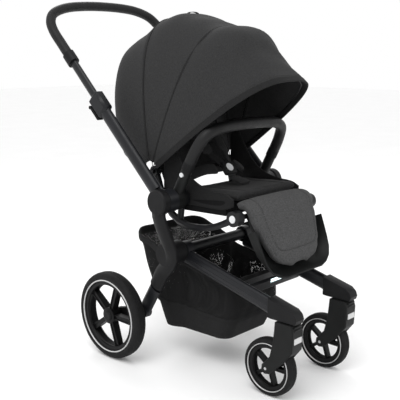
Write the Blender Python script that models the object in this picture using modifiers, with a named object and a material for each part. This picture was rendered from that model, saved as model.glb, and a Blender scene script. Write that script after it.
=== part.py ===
"""A full-size baby stroller: folding chassis, swivel front wheels, reclining seat, canopy and basket.

Metres, +Z up. The stroller faces -Y and is symmetric about X = 0. Lengths along Y are measured
from the rear axle, and the whole stroller is moved back at the end, so that the middle of its
footprint lies at the origin. "right" is the child's right, on the -X side.
"""

import math

import bmesh
import bpy
from mathutils import Vector

# Gaps and small sizes shared by every part
GAP = 0.0003
PIVOT_GAP = 0.0005
BEVEL_ANGLE = math.radians(50)
SIDES = {"right": -1, "left": 1}

# Wheels
REAR_RADIUS = 0.135
REAR_TYRE_WIDTH = 0.0455
REAR_TRACK = 0.2536
FRONT_RADIUS = 0.0825
FRONT_TYRE_WIDTH = 0.033
FRONT_TRACK = 0.1304
SPOKES = 5
FIRST_SPOKE = math.radians(-90)
RIM_SHARE = 0.80
AXLE_RADIUS = 0.006

# Chassis, as (y, z) from the rear axle's foot
WHEELBASE = 0.519
SWIVEL_Y = -0.572
LOWER_TUBE_X = 0.135
CASTER_SPLIT = 0.2272
FORK_HALF = 0.0242
STEM_LENGTH = 0.0250
LOWER_TUBE_START = (-0.545, 0.2510)
LOWER_TUBE_SLOPE = 0.255
LOWER_TUBE_END_Y = -0.205
CROSS_BAR = (-0.200, 0.356)
FRONT_BAR = (-0.418, 0.280)
HUB = (-0.213, 0.517)
HUB_DISC_RADIUS = 0.037
LEG_WIDTH = 0.027
LEG_DEPTH = 0.050
SUSPENSION = (-0.088, 0.156)
ARM_INNER = 0.2119 + PIVOT_GAP
BRAKE_PIVOT = (0.020, 0.176)
BUCKLE = (-0.248, 0.588)
BUCKLE_TILT = math.radians(-40)

# Push bar and handle
PUSH_TILT = math.radians(44.56)
PUSH_X = 0.238
OUTER_TUBE = (0.013, 0.0205)
INNER_TUBE = (0.0095, 0.0140)
OUTER_START = 0.0386
OUTER_END = 0.385
INNER_START = 0.270
GRIP_START = 0.550
GRIP_RADIUS = 0.0150

# Seat
SEAT_HALF_WIDTH = 0.1495
SEAT_TOP = 0.5500
RAIL_X = 0.165
RAIL_RADIUS = 0.0105
CALF_PIVOT = (-0.420, 0.488)
CALF_ROLL_RADIUS = 0.046
SHELL_RIM = 0.0440
RECLINE_PIVOT = (-0.140, 0.545)
BACK_TILT = math.radians(65)
CANOPY_PIVOT = (-0.105, 0.584)

# Canopy bows: half width of the fabric, height above the pivot, and tilt up from the front
CANOPY_HALF_WIDTH = 0.1840
CANOPY_ROUNDING = 0.69
CANOPY_SKIN = 0.003
CANOPY_STEPS = 18
LOWEST_TURN = math.radians(1.2)
FRONT_BOW = (0.459, math.radians(35.5))
MIDDLE_BOW = (0.442, math.radians(69.6))
REAR_BOW = (0.446, math.radians(98.6))
CANOPY_STATIONS = [
    (35.5, 0.459),
    (45, 0.443),
    (52, 0.446),
    (60, 0.463),
    (65, 0.457),
    (69.6, 0.442),
    (76, 0.441),
    (84, 0.449),
    (91, 0.455),
    (98.6, 0.446),
    (106, 0.426),
    (114, 0.421),
    (122, 0.414),
    (131, 0.374),
    (141, 0.318),
    (152, 0.262),
    (165, 0.210),
]

# Bumper bar
BUMPER_X = 0.189
BUMPER_TILT = math.radians(62)
BUMPER_REACH = 0.223
SOCKET_LENGTH = 0.100
BUMPER_RADIUS = 0.0165

FRAME_BLACK = (0.020, 0.021, 0.024)
FABRIC_GREY = (0.055, 0.055, 0.057)
PAD_GREY = (0.085, 0.085, 0.088)
SOFT_BLACK = (0.018, 0.018, 0.019)
LIGHT_GREY = (0.72, 0.73, 0.74)


# ---------------------------------------------------------------- scene and material helpers


def clear_scene():
    """Remove every object and collection of the open scene."""
    for obj in list(bpy.data.objects):
        bpy.data.objects.remove(obj, do_unlink=True)
    for collection in list(bpy.data.collections):
        bpy.data.collections.remove(collection)


def new_collection(name):
    """Make a collection in the scene."""
    collection = bpy.data.collections.new(name)
    bpy.context.scene.collection.children.link(collection)
    return collection


def paint(obj, colour, roughness=0.5, metallic=0.0):
    """Give an object its own Principled material."""
    material = bpy.data.materials.new(obj.name)
    material.use_nodes = True
    shader = material.node_tree.nodes["Principled BSDF"]
    shader.inputs["Base Color"].default_value = (*colour, 1.0)
    shader.inputs["Roughness"].default_value = roughness
    shader.inputs["Metallic"].default_value = metallic
    material.diffuse_color = (*colour, 1.0)
    obj.data.materials.clear()
    obj.data.materials.append(material)
    return obj


def settle(obj, name=None):
    """Turn an object into a plain mesh in world coordinates, with its modifiers applied."""
    bpy.context.view_layer.update()
    graph = bpy.context.evaluated_depsgraph_get()
    mesh = bpy.data.meshes.new_from_object(obj.evaluated_get(graph))
    mesh.transform(obj.matrix_world)
    work = bmesh.new()
    work.from_mesh(mesh)
    bmesh.ops.remove_doubles(work, verts=work.verts, dist=0.00001)
    bmesh.ops.recalc_face_normals(work, faces=work.faces)
    work.to_mesh(mesh)
    work.free()
    name = name or obj.name
    bpy.data.objects.remove(obj, do_unlink=True)
    result = bpy.data.objects.new(name, mesh)
    PARTS.objects.link(result)
    return result


def link_mesh(name, work):
    """Store a bmesh as a new object."""
    mesh = bpy.data.meshes.new(name)
    work.to_mesh(mesh)
    work.free()
    obj = bpy.data.objects.new(name, mesh)
    PARTS.objects.link(obj)
    return obj


# ---------------------------------------------------------------- shape helpers


def block(name, size, centre, turn=(0, 0, 0), bevel=0.0, segments=1):
    """Make a box with rounded edges."""
    work = bmesh.new()
    bmesh.ops.create_cube(work, size=1)
    bmesh.ops.scale(work, vec=size, verts=work.verts)
    obj = link_mesh(name, work)
    obj.location = centre
    obj.rotation_euler = turn
    if bevel:
        rounding = obj.modifiers.new("rounding", "BEVEL")
        rounding.width = bevel
        rounding.segments = segments
    return settle(obj)


def drum(name, radius, x_from, x_to, at, segments=20, bevel=0.0):
    """Make a cylinder along X, centred on the (y, z) point at."""
    work = bmesh.new()
    bmesh.ops.create_cone(
        work,
        cap_ends=True,
        segments=segments,
        radius1=radius,
        radius2=radius,
        depth=abs(x_to - x_from),
    )
    obj = link_mesh(name, work)
    obj.location = ((x_from + x_to) / 2, *at)
    obj.rotation_euler = (0, math.copysign(math.pi / 2, x_to - x_from), 0)
    if bevel:
        rounding = obj.modifiers.new("rounding", "BEVEL")
        rounding.width = bevel
        rounding.segments = 1
        rounding.limit_method = "ANGLE"
        rounding.angle_limit = BEVEL_ANGLE
    return settle(obj)


def rod(name, radius, start, end, segments=16, flat=1.0):
    """Make a cylinder between two points; flat scales it across X."""
    start, end = Vector(start), Vector(end)
    work = bmesh.new()
    bmesh.ops.create_cone(
        work,
        cap_ends=True,
        segments=segments,
        radius1=radius,
        radius2=radius,
        depth=(end - start).length,
    )
    turn = (end - start).to_track_quat("Z", "Y")
    bmesh.ops.rotate(work, verts=work.verts, matrix=turn.to_matrix())
    bmesh.ops.scale(work, vec=(flat, 1, 1), verts=work.verts)
    bmesh.ops.translate(work, vec=(start + end) / 2, verts=work.verts)
    return settle(link_mesh(name, work))


def plate(name, outline, x_from, x_to, bevel=0.0):
    """Extrude a (y, z) outline along X."""
    data = bpy.data.curves.new(name, "CURVE")
    data.dimensions = "2D"
    data.fill_mode = "BOTH"
    data.extrude = abs(x_to - x_from) / 2
    spline = data.splines.new("POLY")
    spline.points.add(len(outline) - 1)
    for point, (y, z) in zip(spline.points, outline):
        point.co = (y, z, 0, 1)
    spline.use_cyclic_u = True
    obj = bpy.data.objects.new(name, data)
    PARTS.objects.link(obj)
    obj.location.x = (x_from + x_to) / 2
    obj.rotation_euler = (math.pi / 2, 0, math.pi / 2)
    obj = settle(obj)
    if bevel:
        rounding = obj.modifiers.new("rounding", "BEVEL")
        rounding.width = bevel
        rounding.segments = 1
        rounding.limit_method = "ANGLE"
        rounding.angle_limit = BEVEL_ANGLE
        obj = settle(obj)
    return obj


def bent_tube(name, points, radius, resolution=4, sides=2):
    """Sweep a round tube along a smooth path."""
    data = bpy.data.curves.new(name, "CURVE")
    data.dimensions = "3D"
    data.use_fill_caps = True
    data.twist_mode = "Z_UP"
    data.bevel_depth = radius
    data.bevel_resolution = sides
    spline = data.splines.new("BEZIER")
    spline.bezier_points.add(len(points) - 1)
    for point, place in zip(spline.bezier_points, points):
        point.co = place
        point.handle_left_type = "AUTO"
        point.handle_right_type = "AUTO"
    spline.resolution_u = resolution
    obj = bpy.data.objects.new(name, data)
    PARTS.objects.link(obj)
    return settle(obj)


def smooth_path(points, samples):
    """Points along a Catmull-Rom curve through the given points."""
    points = [Vector(point) for point in points]
    padded = [2 * points[0] - points[1]] + points + [2 * points[-1] - points[-2]]
    result = []
    for before, first, second, after in zip(padded, padded[1:], padded[2:], padded[3:]):
        for step in range(samples):
            t = step / samples
            result.append(
                0.5
                * (
                    2 * first
                    + (second - before) * t
                    + (2 * before - 5 * first + 4 * second - after) * t**2
                    + (3 * first - before - 3 * second + after) * t**3
                )
            )
    return result + [points[-1]]


def swept_oval(name, points, half_width, half_depth, samples=3, sides=10):
    """Loft an oval section along a path in a plane square to X, keeping its width across X."""
    path = smooth_path(points, samples)
    work = bmesh.new()
    rings = []
    for index, place in enumerate(path):
        along = path[min(index + 1, len(path) - 1)] - path[max(index - 1, 0)]
        depth = Vector((0, -along.z, along.y)).normalized()
        ring = []
        for side in range(sides):
            turn = 2 * math.pi * side / sides
            across = Vector((half_width * math.cos(turn), 0, 0))
            ring.append(work.verts.new(place + across + depth * half_depth * math.sin(turn)))
        rings.append(ring)
    for first, second in zip(rings, rings[1:]):
        for side in range(sides):
            after = (side + 1) % sides
            work.faces.new((first[side], first[after], second[after], second[side]))
    work.faces.new(rings[0])
    work.faces.new(list(reversed(rings[-1])))
    return settle(link_mesh(name, work))


def oval_tube(name, start, end, half_width, half_depth, segments=18):
    """Make a straight tube with an oval section, half_width across X."""
    return rod(name, half_depth, start, end, segments=segments, flat=half_width / half_depth)


def turned(name, profile, x, at, steps=28):
    """Turn a closed (x, radius) profile about an axis along X through the (y, z) point at."""
    work = bmesh.new()
    corners = [work.verts.new((along, 0, radius)) for along, radius in profile]
    for first, second in zip(corners, corners[1:] + corners[:1]):
        work.edges.new((first, second))
    obj = link_mesh(name, work)
    obj.location = (x, *at)
    lathe = obj.modifiers.new("lathe", "SCREW")
    lathe.axis = "X"
    lathe.steps = steps
    lathe.render_steps = steps
    lathe.use_merge_vertices = True
    lathe.merge_threshold = 0.00001
    return settle(obj)


def combine(obj, other, operation):
    """Apply one exact Boolean and remove the second object."""
    modifier = obj.modifiers.new(operation.lower(), "BOOLEAN")
    modifier.operation = operation
    modifier.solver = "EXACT"
    modifier.object = other
    result = settle(obj)
    bpy.data.objects.remove(other, do_unlink=True)
    return result


def join(obj, *others):
    """Weld further pieces on to an object."""
    name = obj.name
    for other in others:
        obj = combine(obj, other, "UNION")
    obj.name = name
    return obj


def cut(obj, *cutters):
    """Cut pieces out of an object."""
    name = obj.name
    for cutter in cutters:
        obj = combine(obj, cutter, "DIFFERENCE")
    obj.name = name
    return obj


def along_push(distance, lift=0.0):
    """The (y, z) point at a distance up the push tube from the hub, lifted square to it."""
    y = HUB[0] + distance * math.cos(PUSH_TILT) - lift * math.sin(PUSH_TILT)
    z = HUB[1] + distance * math.sin(PUSH_TILT) + lift * math.cos(PUSH_TILT)
    return y, z


def along_bumper(distance):
    """The (y, z) point at a distance up the bumper bar's arm from the hub."""
    return (
        HUB[0] - distance * math.cos(BUMPER_TILT),
        HUB[1] + distance * math.sin(BUMPER_TILT),
    )


def along_back(distance, forward=0.0):
    """The (y, z) point up the backrest from its pivot, and forward of it."""
    y = RECLINE_PIVOT[0] + distance * math.cos(BACK_TILT) - forward * math.sin(BACK_TILT)
    z = RECLINE_PIVOT[1] + distance * math.sin(BACK_TILT) + forward * math.cos(BACK_TILT)
    return y, z


def lower_tube_z(y):
    """Height of a lower tube's centre line."""
    return LOWER_TUBE_START[1] + LOWER_TUBE_SLOPE * (y - LOWER_TUBE_START[0])


# ---------------------------------------------------------------- wheels


def make_tyre(name, x, at, radius, width):
    """A solid tyre with a rounded tread, seated on its rim."""
    half = width / 2
    seat = radius * RIM_SHARE
    profile = [
        (-half * 0.78, seat),
        (-half, radius * 0.89),
        (-half * 0.72, radius * 0.975),
        (-half * 0.30, radius),
        (half * 0.30, radius),
        (half * 0.72, radius * 0.975),
        (half, radius * 0.89),
        (half * 0.78, seat),
    ]
    return paint(turned(name, profile, x, at), SOFT_BLACK, 0.75)


def make_rim(name, side, x, at, radius, width):
    """A moulded rim with five spokes, and a hub bored for the axle from its inner side."""
    outer = radius * RIM_SHARE - GAP
    wall = radius * 0.06
    half = width * 0.39
    profile = [(-half, outer - wall), (-half, outer), (half, outer), (half, outer - wall)]
    rim = turned(name, profile, x, at)
    hub_radius = radius * 0.19
    rim = join(rim, drum("hub", hub_radius, x - side * half, x + side * half, at, 24))
    for spoke in range(SPOKES):
        angle = FIRST_SPOKE + 2 * math.pi * spoke / SPOKES
        middle = (hub_radius * 0.6 + outer - wall / 2) / 2
        length = outer - wall / 2 - hub_radius * 0.6
        centre = (x, at[0] + middle * math.sin(angle), at[1] + middle * math.cos(angle))
        size = (half * 1.2, radius * 0.105, length)
        rim = join(rim, block("spoke", size, centre, turn=(-angle, 0, 0)))
    bore = drum("bore", AXLE_RADIUS + GAP, x - side * half * 1.2, x + side * half * 0.5, at, 16)
    return paint(cut(rim, bore), FRAME_BLACK, 0.45)


def rear_wheel(label, side):
    """Tyre and rim of one rear wheel."""
    x = side * REAR_TRACK
    at = (0, REAR_RADIUS)
    tyre = make_tyre(f"rear_tyre_{label}", x, at, REAR_RADIUS, REAR_TYRE_WIDTH)
    rim = make_rim(f"rear_rim_{label}", side, x, at, REAR_RADIUS, REAR_TYRE_WIDTH)
    return [tyre, rim]


def front_wheel(label, side):
    """Tyre and rim of one front wheel; its axle passes right through the rim."""
    x = side * FRONT_TRACK
    at = (-WHEELBASE, FRONT_RADIUS)
    tyre = make_tyre(f"front_tyre_{label}", x, at, FRONT_RADIUS, FRONT_TYRE_WIDTH)
    rim = make_rim(f"front_rim_{label}", side, x, at, FRONT_RADIUS, FRONT_TYRE_WIDTH)
    through = drum("through", AXLE_RADIUS * 0.7 + GAP, x - 0.03, x + 0.03, at, 16)
    return [tyre, paint(cut(rim, through), FRAME_BLACK, 0.45)]


# ---------------------------------------------------------------- rear frame


def rear_leg(label, side):
    """The moulding that runs from the fold hub down the curved arm, round the knee to the leg."""
    path = [
        (side * 0.2535, HUB[0], HUB[1]),
        (side * 0.2535, -0.212, 0.474),
        (side * 0.2360, -0.220, 0.415),
        (side * 0.2150, -0.224, 0.352),
        (side * 0.2070, -0.176, 0.295),
        (side * 0.2040, -0.146, 0.247),
    ]
    name = f"rear_leg_{label}"
    arm = swept_oval(name, path, LEG_WIDTH / 2, LEG_DEPTH / 2, samples=3)
    disc = drum(
        "disc", HUB_DISC_RADIUS, side * (PUSH_X + 0.0020), side * 0.2675, HUB, 24, bevel=0.004
    )
    knee = drum("knee", 0.034, side * 0.160, side * 0.2240, CROSS_BAR, 20)
    arm = join(arm, disc, knee)
    socket = drum("socket", 0.0105 + GAP, side * 0.20, side * 0.256, HUB, 20)
    bar_seat = drum("bar_seat", 0.0170 + GAP, side * 0.150, side * 0.190, CROSS_BAR, 24)
    return paint(cut(arm, socket, bar_seat), FRAME_BLACK, 0.42)


def leg_tube(label, side):
    """The oval aluminium tube below the moulding, down to the suspension pivot."""
    start = Vector((side * 0.2040, -0.146, 0.247))
    end = Vector((side * 0.1980, SUSPENSION[0], SUSPENSION[1]))
    along = (end - start).normalized()
    tube = rod(
        f"leg_tube_{label}", 0.0215, start + along * 0.0085, end, segments=18, flat=0.0115 / 0.0215
    )
    boss = drum("boss", 0.0215, side * 0.1885, side * 0.2115, SUSPENSION, 20)
    bore = drum("bore", 0.0070 + GAP, side * 0.18, side * 0.222, SUSPENSION, 20)
    return paint(cut(join(tube, boss), bore), (0.035, 0.037, 0.042), 0.35, 0.6)


def axle_arm(label, side):
    """The trailing arm that carries a rear wheel, with its pivot pin and the wheel's axle."""
    inner = ARM_INNER
    outer = REAR_TRACK - REAR_TYRE_WIDTH / 2 - 0.0020
    outline_points = []
    step_angle = 27.5
    for at, radius, first in ((SUSPENSION, 0.019, 60), ((0, REAR_RADIUS), 0.017, -106)):
        for step in range(7):
            angle = math.radians(first + step * step_angle)
            outline_points.append(
                (at[0] + radius * math.cos(angle), at[1] + radius * math.sin(angle))
            )
    arm = plate(f"axle_arm_{label}", outline_points, side * inner, side * outer)
    pin = drum("pin", 0.0070, side * 0.190, side * (inner + 0.004), SUSPENSION, 20)
    boss = drum("boss", 0.017, side * inner, side * (outer + 0.0010), (0, REAR_RADIUS), 24)
    axle = drum(
        "axle", AXLE_RADIUS, side * inner, side * (REAR_TRACK + 0.006), (0, REAR_RADIUS), 16
    )
    return paint(join(arm, pin, boss, axle), FRAME_BLACK, 0.45)


def rear_cross_bar():
    """The tube that ties both knees together; the front frame folds about it."""
    bar = drum("rear_cross_bar", 0.0170, -0.1600, 0.1600, CROSS_BAR, 20)
    spigots = [
        drum("spigot", 0.0165, side * 0.155, side * (0.190 - PIVOT_GAP), CROSS_BAR, 24)
        for side in SIDES.values()
    ]
    return paint(join(bar, *spigots), FRAME_BLACK, 0.40)


def seat_hub(label, side):
    """The barrel that carries the seat, with the fold pin and the bumper bar's socket."""
    outer = PUSH_X - 0.0330
    name = f"seat_hub_{label}"
    barrel = drum(name, 0.031, side * (0.1725 + PIVOT_GAP), side * outer, HUB, 24)
    pin = drum("pin", 0.0100, side * (outer - 0.004), side * 0.2555, HUB, 20)
    foot = along_bumper(0.004)
    top = along_bumper(SOCKET_LENGTH)
    arm = rod("arm", 0.0158, (side * BUMPER_X, *foot), (side * BUMPER_X, *top), 18)
    bore_start = along_bumper(SOCKET_LENGTH - 0.026)
    bore_end = along_bumper(SOCKET_LENGTH + 0.004)
    bore = rod("bore", 0.0095, (side * BUMPER_X, *bore_start), (side * BUMPER_X, *bore_end), 16)
    button_at = along_bumper(SOCKET_LENGTH - 0.014)
    pocket = drum("pocket", 0.0068, side * (BUMPER_X + 0.0108), side * 0.22, button_at, 16)
    hub = cut(join(barrel, pin, arm), bore, pocket)
    return paint(hub, FRAME_BLACK, 0.45)


def brake_pedal():
    """The foot pedal behind the left rear wheel's arm."""
    pivot = BRAKE_PIVOT
    pedal = drum("brake_pedal", 0.009, 0.196, 0.224, pivot, 20)
    tread = block("tread", (0.040, 0.052, 0.010), (0.200, 0.047, 0.183),
                  turn=(math.radians(14), 0, 0), bevel=0.003)
    neck = block("neck", (0.022, 0.026, 0.008), (0.208, 0.028, 0.179), bevel=0.002)
    bore = drum("bore", 0.0043, 0.18, 0.24, pivot, 16)
    return paint(cut(join(pedal, neck, tread), bore), FRAME_BLACK, 0.5)


def brake_bracket(arm):
    """Add the pedal's pin and its bracket to the left trailing arm."""
    pivot = BRAKE_PIVOT
    inner = ARM_INNER
    outer = REAR_TRACK - REAR_TYRE_WIDTH / 2 - 0.0020
    name = arm.name
    lug = block("lug", (outer - inner, 0.018, 0.044), ((inner + outer) / 2, 0.0115, 0.163),
                turn=(math.radians(-24), 0, 0))
    cap = drum("cap", 0.011, inner + 0.0125, outer, pivot, 20)
    pin = drum("pin", 0.0040, 0.197, outer - 0.001, pivot, 16)
    clear = drum("clear", 0.0100, 0.190, inner + 0.0120, pivot, 20)
    arm = join(cut(join(arm, lug, cap), clear), pin)
    arm.name = name
    return paint(arm, FRAME_BLACK, 0.45)


# ---------------------------------------------------------------- front frame


def lower_tube(label, side):
    """One oval side tube of the front frame, hinged round the rear cross bar."""
    start = (side * LOWER_TUBE_X, *LOWER_TUBE_START)
    end = (side * LOWER_TUBE_X, LOWER_TUBE_END_Y, lower_tube_z(LOWER_TUBE_END_Y))
    name = f"lower_tube_{label}"
    tube = oval_tube(name, start, end, 0.0130, 0.0225)
    eye = drum("eye", 0.0255, side * 0.1225, side * 0.1475, CROSS_BAR, 20)
    bore = drum("bore", 0.0170 + PIVOT_GAP, side * 0.11, side * 0.16, CROSS_BAR, 20)
    return paint(cut(join(tube, eye), bore), FRAME_BLACK, 0.38, 0.4)


def front_cross_bar():
    """The bar between the lower tubes, with a recess for the light."""
    y, z = FRONT_BAR
    size = (2 * (LOWER_TUBE_X - 0.0130) - 2 * GAP, 0.034, 0.036)
    turn = (math.atan(LOWER_TUBE_SLOPE), 0, 0)
    bar = block("front_cross_bar", size, (0, y, z), turn=turn, bevel=0.006)
    recess = block("recess", (0.056, 0.012, 0.0125), (0, y - 0.0175, z + 0.0035), turn=turn)
    return paint(cut(bar, recess), FRAME_BLACK, 0.42)


def light_lens():
    """The clear lens of the light in the front cross bar."""
    y, z = FRONT_BAR
    turn = (math.atan(LOWER_TUBE_SLOPE), 0, 0)
    lens = block("light_lens", (0.054, 0.0055, 0.0105), (0, y - 0.01465, z + 0.0042), turn=turn,
                 bevel=0.0015)
    return paint(lens, (0.75, 0.92, 0.92), 0.15)


def caster_cap(label, side):
    """The moulded nose on a lower tube's front end that holds the fork's swivel bearing."""
    x = side * LOWER_TUBE_X * 0.975
    front, back = -0.6150, LOWER_TUBE_START[0] + 0.026
    outline_points = [
        (front, CASTER_SPLIT + 0.012),
        (front + 0.005, 0.2520),
        (front + 0.018, 0.2630),
        (back, 0.2830),
        (back, 0.2285),
        (back - 0.012, CASTER_SPLIT),
        (front + 0.004, CASTER_SPLIT),
    ]
    cap = plate(f"caster_cap_{label}", outline_points, x - 0.0185, x + 0.0185, bevel=0.004)
    end_y = LOWER_TUBE_START[0]
    start = (side * LOWER_TUBE_X, end_y - GAP, lower_tube_z(end_y - GAP))
    end = (side * LOWER_TUBE_X, end_y + 0.080, lower_tube_z(end_y + 0.080))
    tube_seat = oval_tube("tube_seat", start, end, 0.0130 + GAP, 0.0225 + GAP)
    top = CASTER_SPLIT + STEM_LENGTH + 0.001
    bearing = upright("bearing", 0.0083, (side * FRONT_TRACK, SWIVEL_Y), 0.200, top)
    return paint(cut(cap, tube_seat, bearing), FRAME_BLACK, 0.42)


def upright(name, radius, at, low, high, segments=20):
    """Make an upright cylinder at the (x, y) point at."""
    return rod(name, radius, (*at, low), (*at, high), segments)


def fork(label, side):
    """A swivelling fork with two blades, a closed front and its steel stem."""
    x = side * FRONT_TRACK
    top = CASTER_SPLIT - 0.0020
    outline_points = [
        (-0.602, top),
        (-0.547, top),
        (-0.545, 0.199),
        (-0.541, 0.160),
        (-0.531, 0.120),
        (-0.505, 0.091),
        (-0.5035, 0.073),
        (-0.516, 0.0665),
        (-0.531, 0.069),
        (-0.575, 0.110),
        (-0.606, 0.150),
        (-0.6085, 0.205),
    ]
    name = f"fork_{label}"
    body = plate(name, outline_points, x - FORK_HALF, x + FORK_HALF, bevel=0.003)
    wheel_at = (-WHEELBASE, FRONT_RADIUS)
    well_half = FORK_HALF - 0.0060
    wheel_well = drum("well", FRONT_RADIUS + 0.007, x - well_half, x + well_half, wheel_at, 28)
    axle_hole = drum("axle_hole", AXLE_RADIUS * 0.7 + GAP, x - 0.04, x + 0.04, wheel_at, 16)
    swivel_at = (x, SWIVEL_Y)
    stem = upright("stem", 0.0080, swivel_at, top - 0.030, CASTER_SPLIT + STEM_LENGTH)
    washer = upright("washer", 0.0150, swivel_at, top - 0.020, CASTER_SPLIT - GAP, 24)
    return paint(cut(join(body, washer, stem), wheel_well, axle_hole), FRAME_BLACK, 0.45)


def front_axle(label, side):
    """The steel pin that holds a front wheel in its fork."""
    x = side * FRONT_TRACK
    axle = drum(f"front_axle_{label}", AXLE_RADIUS * 0.7, x - FORK_HALF, x + FORK_HALF,
                (-WHEELBASE, FRONT_RADIUS), 16)
    return paint(axle, LIGHT_GREY, 0.3, 1.0)


# ---------------------------------------------------------------- push bar and handle


def push_tube(label, side):
    """The outer tube of the push bar, its fold barrel and the clamp block at its top."""
    name = f"push_tube_{label}"
    x = side * PUSH_X
    half_width, half_depth = OUTER_TUBE
    start, end = along_push(OUTER_START), along_push(OUTER_END)
    tube = oval_tube(name, (x, *start), (x, *end), half_width, half_depth, 20)
    barrel = drum("barrel", 0.0335, side * (PUSH_X - 0.0326), side * (PUSH_X + 0.0010), HUB, 24)
    neck = oval_tube("neck", (x - side * 0.006, *along_push(0.012)),
                     (x - side * 0.006, *along_push(0.080)), 0.0068, 0.0200, 16)
    clamp = block("clamp", (0.034, 0.052, 0.072), (x, *along_push(0.368)),
                  turn=(PUSH_TILT - math.pi / 2, 0, 0), bevel=0.008)
    pin_bore = drum("pin_bore", 0.0100 + GAP, side * 0.19, side * 0.27, HUB, 20)
    slide_bore = oval_tube("slide_bore", (x, *along_push(0.165)), (x, *along_push(0.42)),
                           INNER_TUBE[0] + PIVOT_GAP, INNER_TUBE[1] + PIVOT_GAP, 20)
    tube = cut(join(tube, neck, barrel, clamp), pin_bore, slide_bore)
    return paint(tube, FRAME_BLACK, 0.36, 0.4)


def adjust_lever(label, side):
    """The lever on the back of the clamp block that frees the handle's height."""
    x = side * PUSH_X
    tilt = (PUSH_TILT - math.pi / 2, 0, 0)
    pad = block(f"adjust_lever_{label}", (0.024, 0.009, 0.050), (x, *along_push(0.362, -0.0335)),
                turn=tilt, bevel=0.003)
    root = drum("root", 0.0055, x - 0.012, x + 0.012, along_push(0.386, -0.0330), 16)
    return paint(join(pad, root), SOFT_BLACK, 0.5)


def inner_tube(label, side):
    """The inner tube that telescopes in the push tube and carries the grip."""
    x = side * PUSH_X
    tube = oval_tube(f"inner_tube_{label}", (x, *along_push(INNER_START)),
                     (x, *along_push(GRIP_START + 0.040)), *INNER_TUBE, 18)
    return paint(tube, FRAME_BLACK, 0.30, 0.6)


def grip_collar(label, side):
    """The moulded collar where the grip's cover meets the inner tube."""
    x = side * PUSH_X
    collar = rod(f"grip_collar_{label}", 0.0205, (x, *along_push(GRIP_START - 0.012)),
                 (x, *along_push(GRIP_START + 0.0245)), 24, flat=0.85)
    bore = oval_tube("bore", (x, *along_push(GRIP_START - 0.03)),
                     (x, *along_push(GRIP_START + 0.05)),
                     INNER_TUBE[0] + GAP, INNER_TUBE[1] + GAP, 18)
    collar = cut(collar, bore)
    if label == "right":
        pocket = drum("pocket", 0.0062, x + 0.0132, x + 0.03, along_push(GRIP_START + 0.006), 16)
        collar = cut(collar, pocket)
    return paint(collar, SOFT_BLACK, 0.4)


def handle_button():
    """The small button inside the right end of the grip."""
    x = -PUSH_X
    button = drum("handle_button", 0.0055, x + 0.0158, x + 0.0195,
                  along_push(GRIP_START + 0.006), 16)
    return paint(button, (0.05, 0.05, 0.05), 0.4)


def grip():
    """The padded grip, one bow from end to end, with a blind socket in each end."""
    half = [
        (PUSH_X, *along_push(GRIP_START + 0.0250)),
        (PUSH_X, *along_push(GRIP_START + 0.0700)),
        (PUSH_X - 0.001, *along_push(GRIP_START + 0.1250)),
        (PUSH_X - 0.010, *along_push(GRIP_START + 0.1650, 0.004)),
        (PUSH_X - 0.036, *along_push(GRIP_START + 0.1950, 0.011)),
        (PUSH_X - 0.090, *along_push(GRIP_START + 0.2130, 0.018)),
        (PUSH_X - 0.160, *along_push(GRIP_START + 0.2210, 0.021)),
    ]
    path = [(-x, y, z) for x, y, z in half]
    path += [(0, *along_push(GRIP_START + 0.2230, 0.022))]
    path += [(x, y, z) for x, y, z in reversed(half)]
    bar = bent_tube("handle_grip", path, GRIP_RADIUS, resolution=2, sides=2)
    for side in SIDES.values():
        socket = oval_tube("socket", (side * PUSH_X, *along_push(GRIP_START + 0.01)),
                           (side * PUSH_X, *along_push(GRIP_START + 0.0405)),
                           INNER_TUBE[0] + GAP, INNER_TUBE[1] + GAP, 16)
        bar = cut(bar, socket)
    return paint(bar, SOFT_BLACK, 0.6)


# ---------------------------------------------------------------- seat


def seat_rail(label, side):
    """The side rail below the seat, from the calf rest's pivot back to the canopy's pivot."""
    x = side * RAIL_X
    path = [
        (x, -0.405, 0.481),
        (x, -0.350, 0.455),
        (x, -0.280, 0.440),
        (x, -0.205, 0.448),
        (x - side * 0.0015, -0.150, 0.490),
        (x - side * 0.0055, -0.107, 0.577),
    ]
    name = f"seat_rail_{label}"
    rail = bent_tube(name, path, RAIL_RADIUS, resolution=2, sides=1)
    front = drum("front", 0.0215, side * 0.1535, side * 0.1810, CALF_PIVOT, 20)
    rear = drum("rear", 0.0150, side * 0.1520, side * 0.1712, CANOPY_PIVOT, 20)
    post_x = side * 0.1605
    post = rod("post", 0.0100, (post_x, -0.205, 0.450), (post_x, *HUB), 12)
    hub_boss = drum("hub_boss", 0.0260, side * 0.1560, side * 0.1725, HUB, 20)
    pocket = drum("pocket", 0.0112, side * 0.1705, side * 0.19, CALF_PIVOT, 20)
    pivot_bore = drum("pivot_bore", 0.0070 + GAP, side * 0.14, side * 0.1675, CALF_PIVOT, 20)
    bow_bore = drum("bow_bore", 0.0050 + GAP, side * 0.14, side * 0.19, CANOPY_PIVOT, 16)
    rail = cut(join(rail, front, rear, post, hub_boss), pocket, pivot_bore, bow_bore)
    return paint(rail, FRAME_BLACK, 0.45)


def seat_base():
    """The board under the seat, between the rails, with its upturned front edge."""
    outline_points = [
        (-0.3695, 0.4845),
        (-0.3700, 0.5220),
        (-0.3600, 0.5260),
        (-0.1600, 0.5060),
        (-0.1600, 0.4780),
    ]
    base = plate("seat_base", outline_points, -SEAT_HALF_WIDTH, SEAT_HALF_WIDTH)
    return paint(base, FABRIC_GREY, 0.8)


def seat_cushion():
    """The soft seat pad on the board."""
    outline_points = [
        (-0.398, 0.5325),
        (-0.409, 0.5400),
        (-0.395, SEAT_TOP),
        (-0.300, SEAT_TOP),
        (-0.185, 0.5380),
        (-0.172, 0.5240),
        (-0.180, 0.5095),
        (-0.360, 0.5275),
    ]
    cushion = plate("seat_cushion", outline_points, -0.147, 0.147, bevel=0.006)
    return paint(cushion, PAD_GREY, 0.9)


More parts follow.
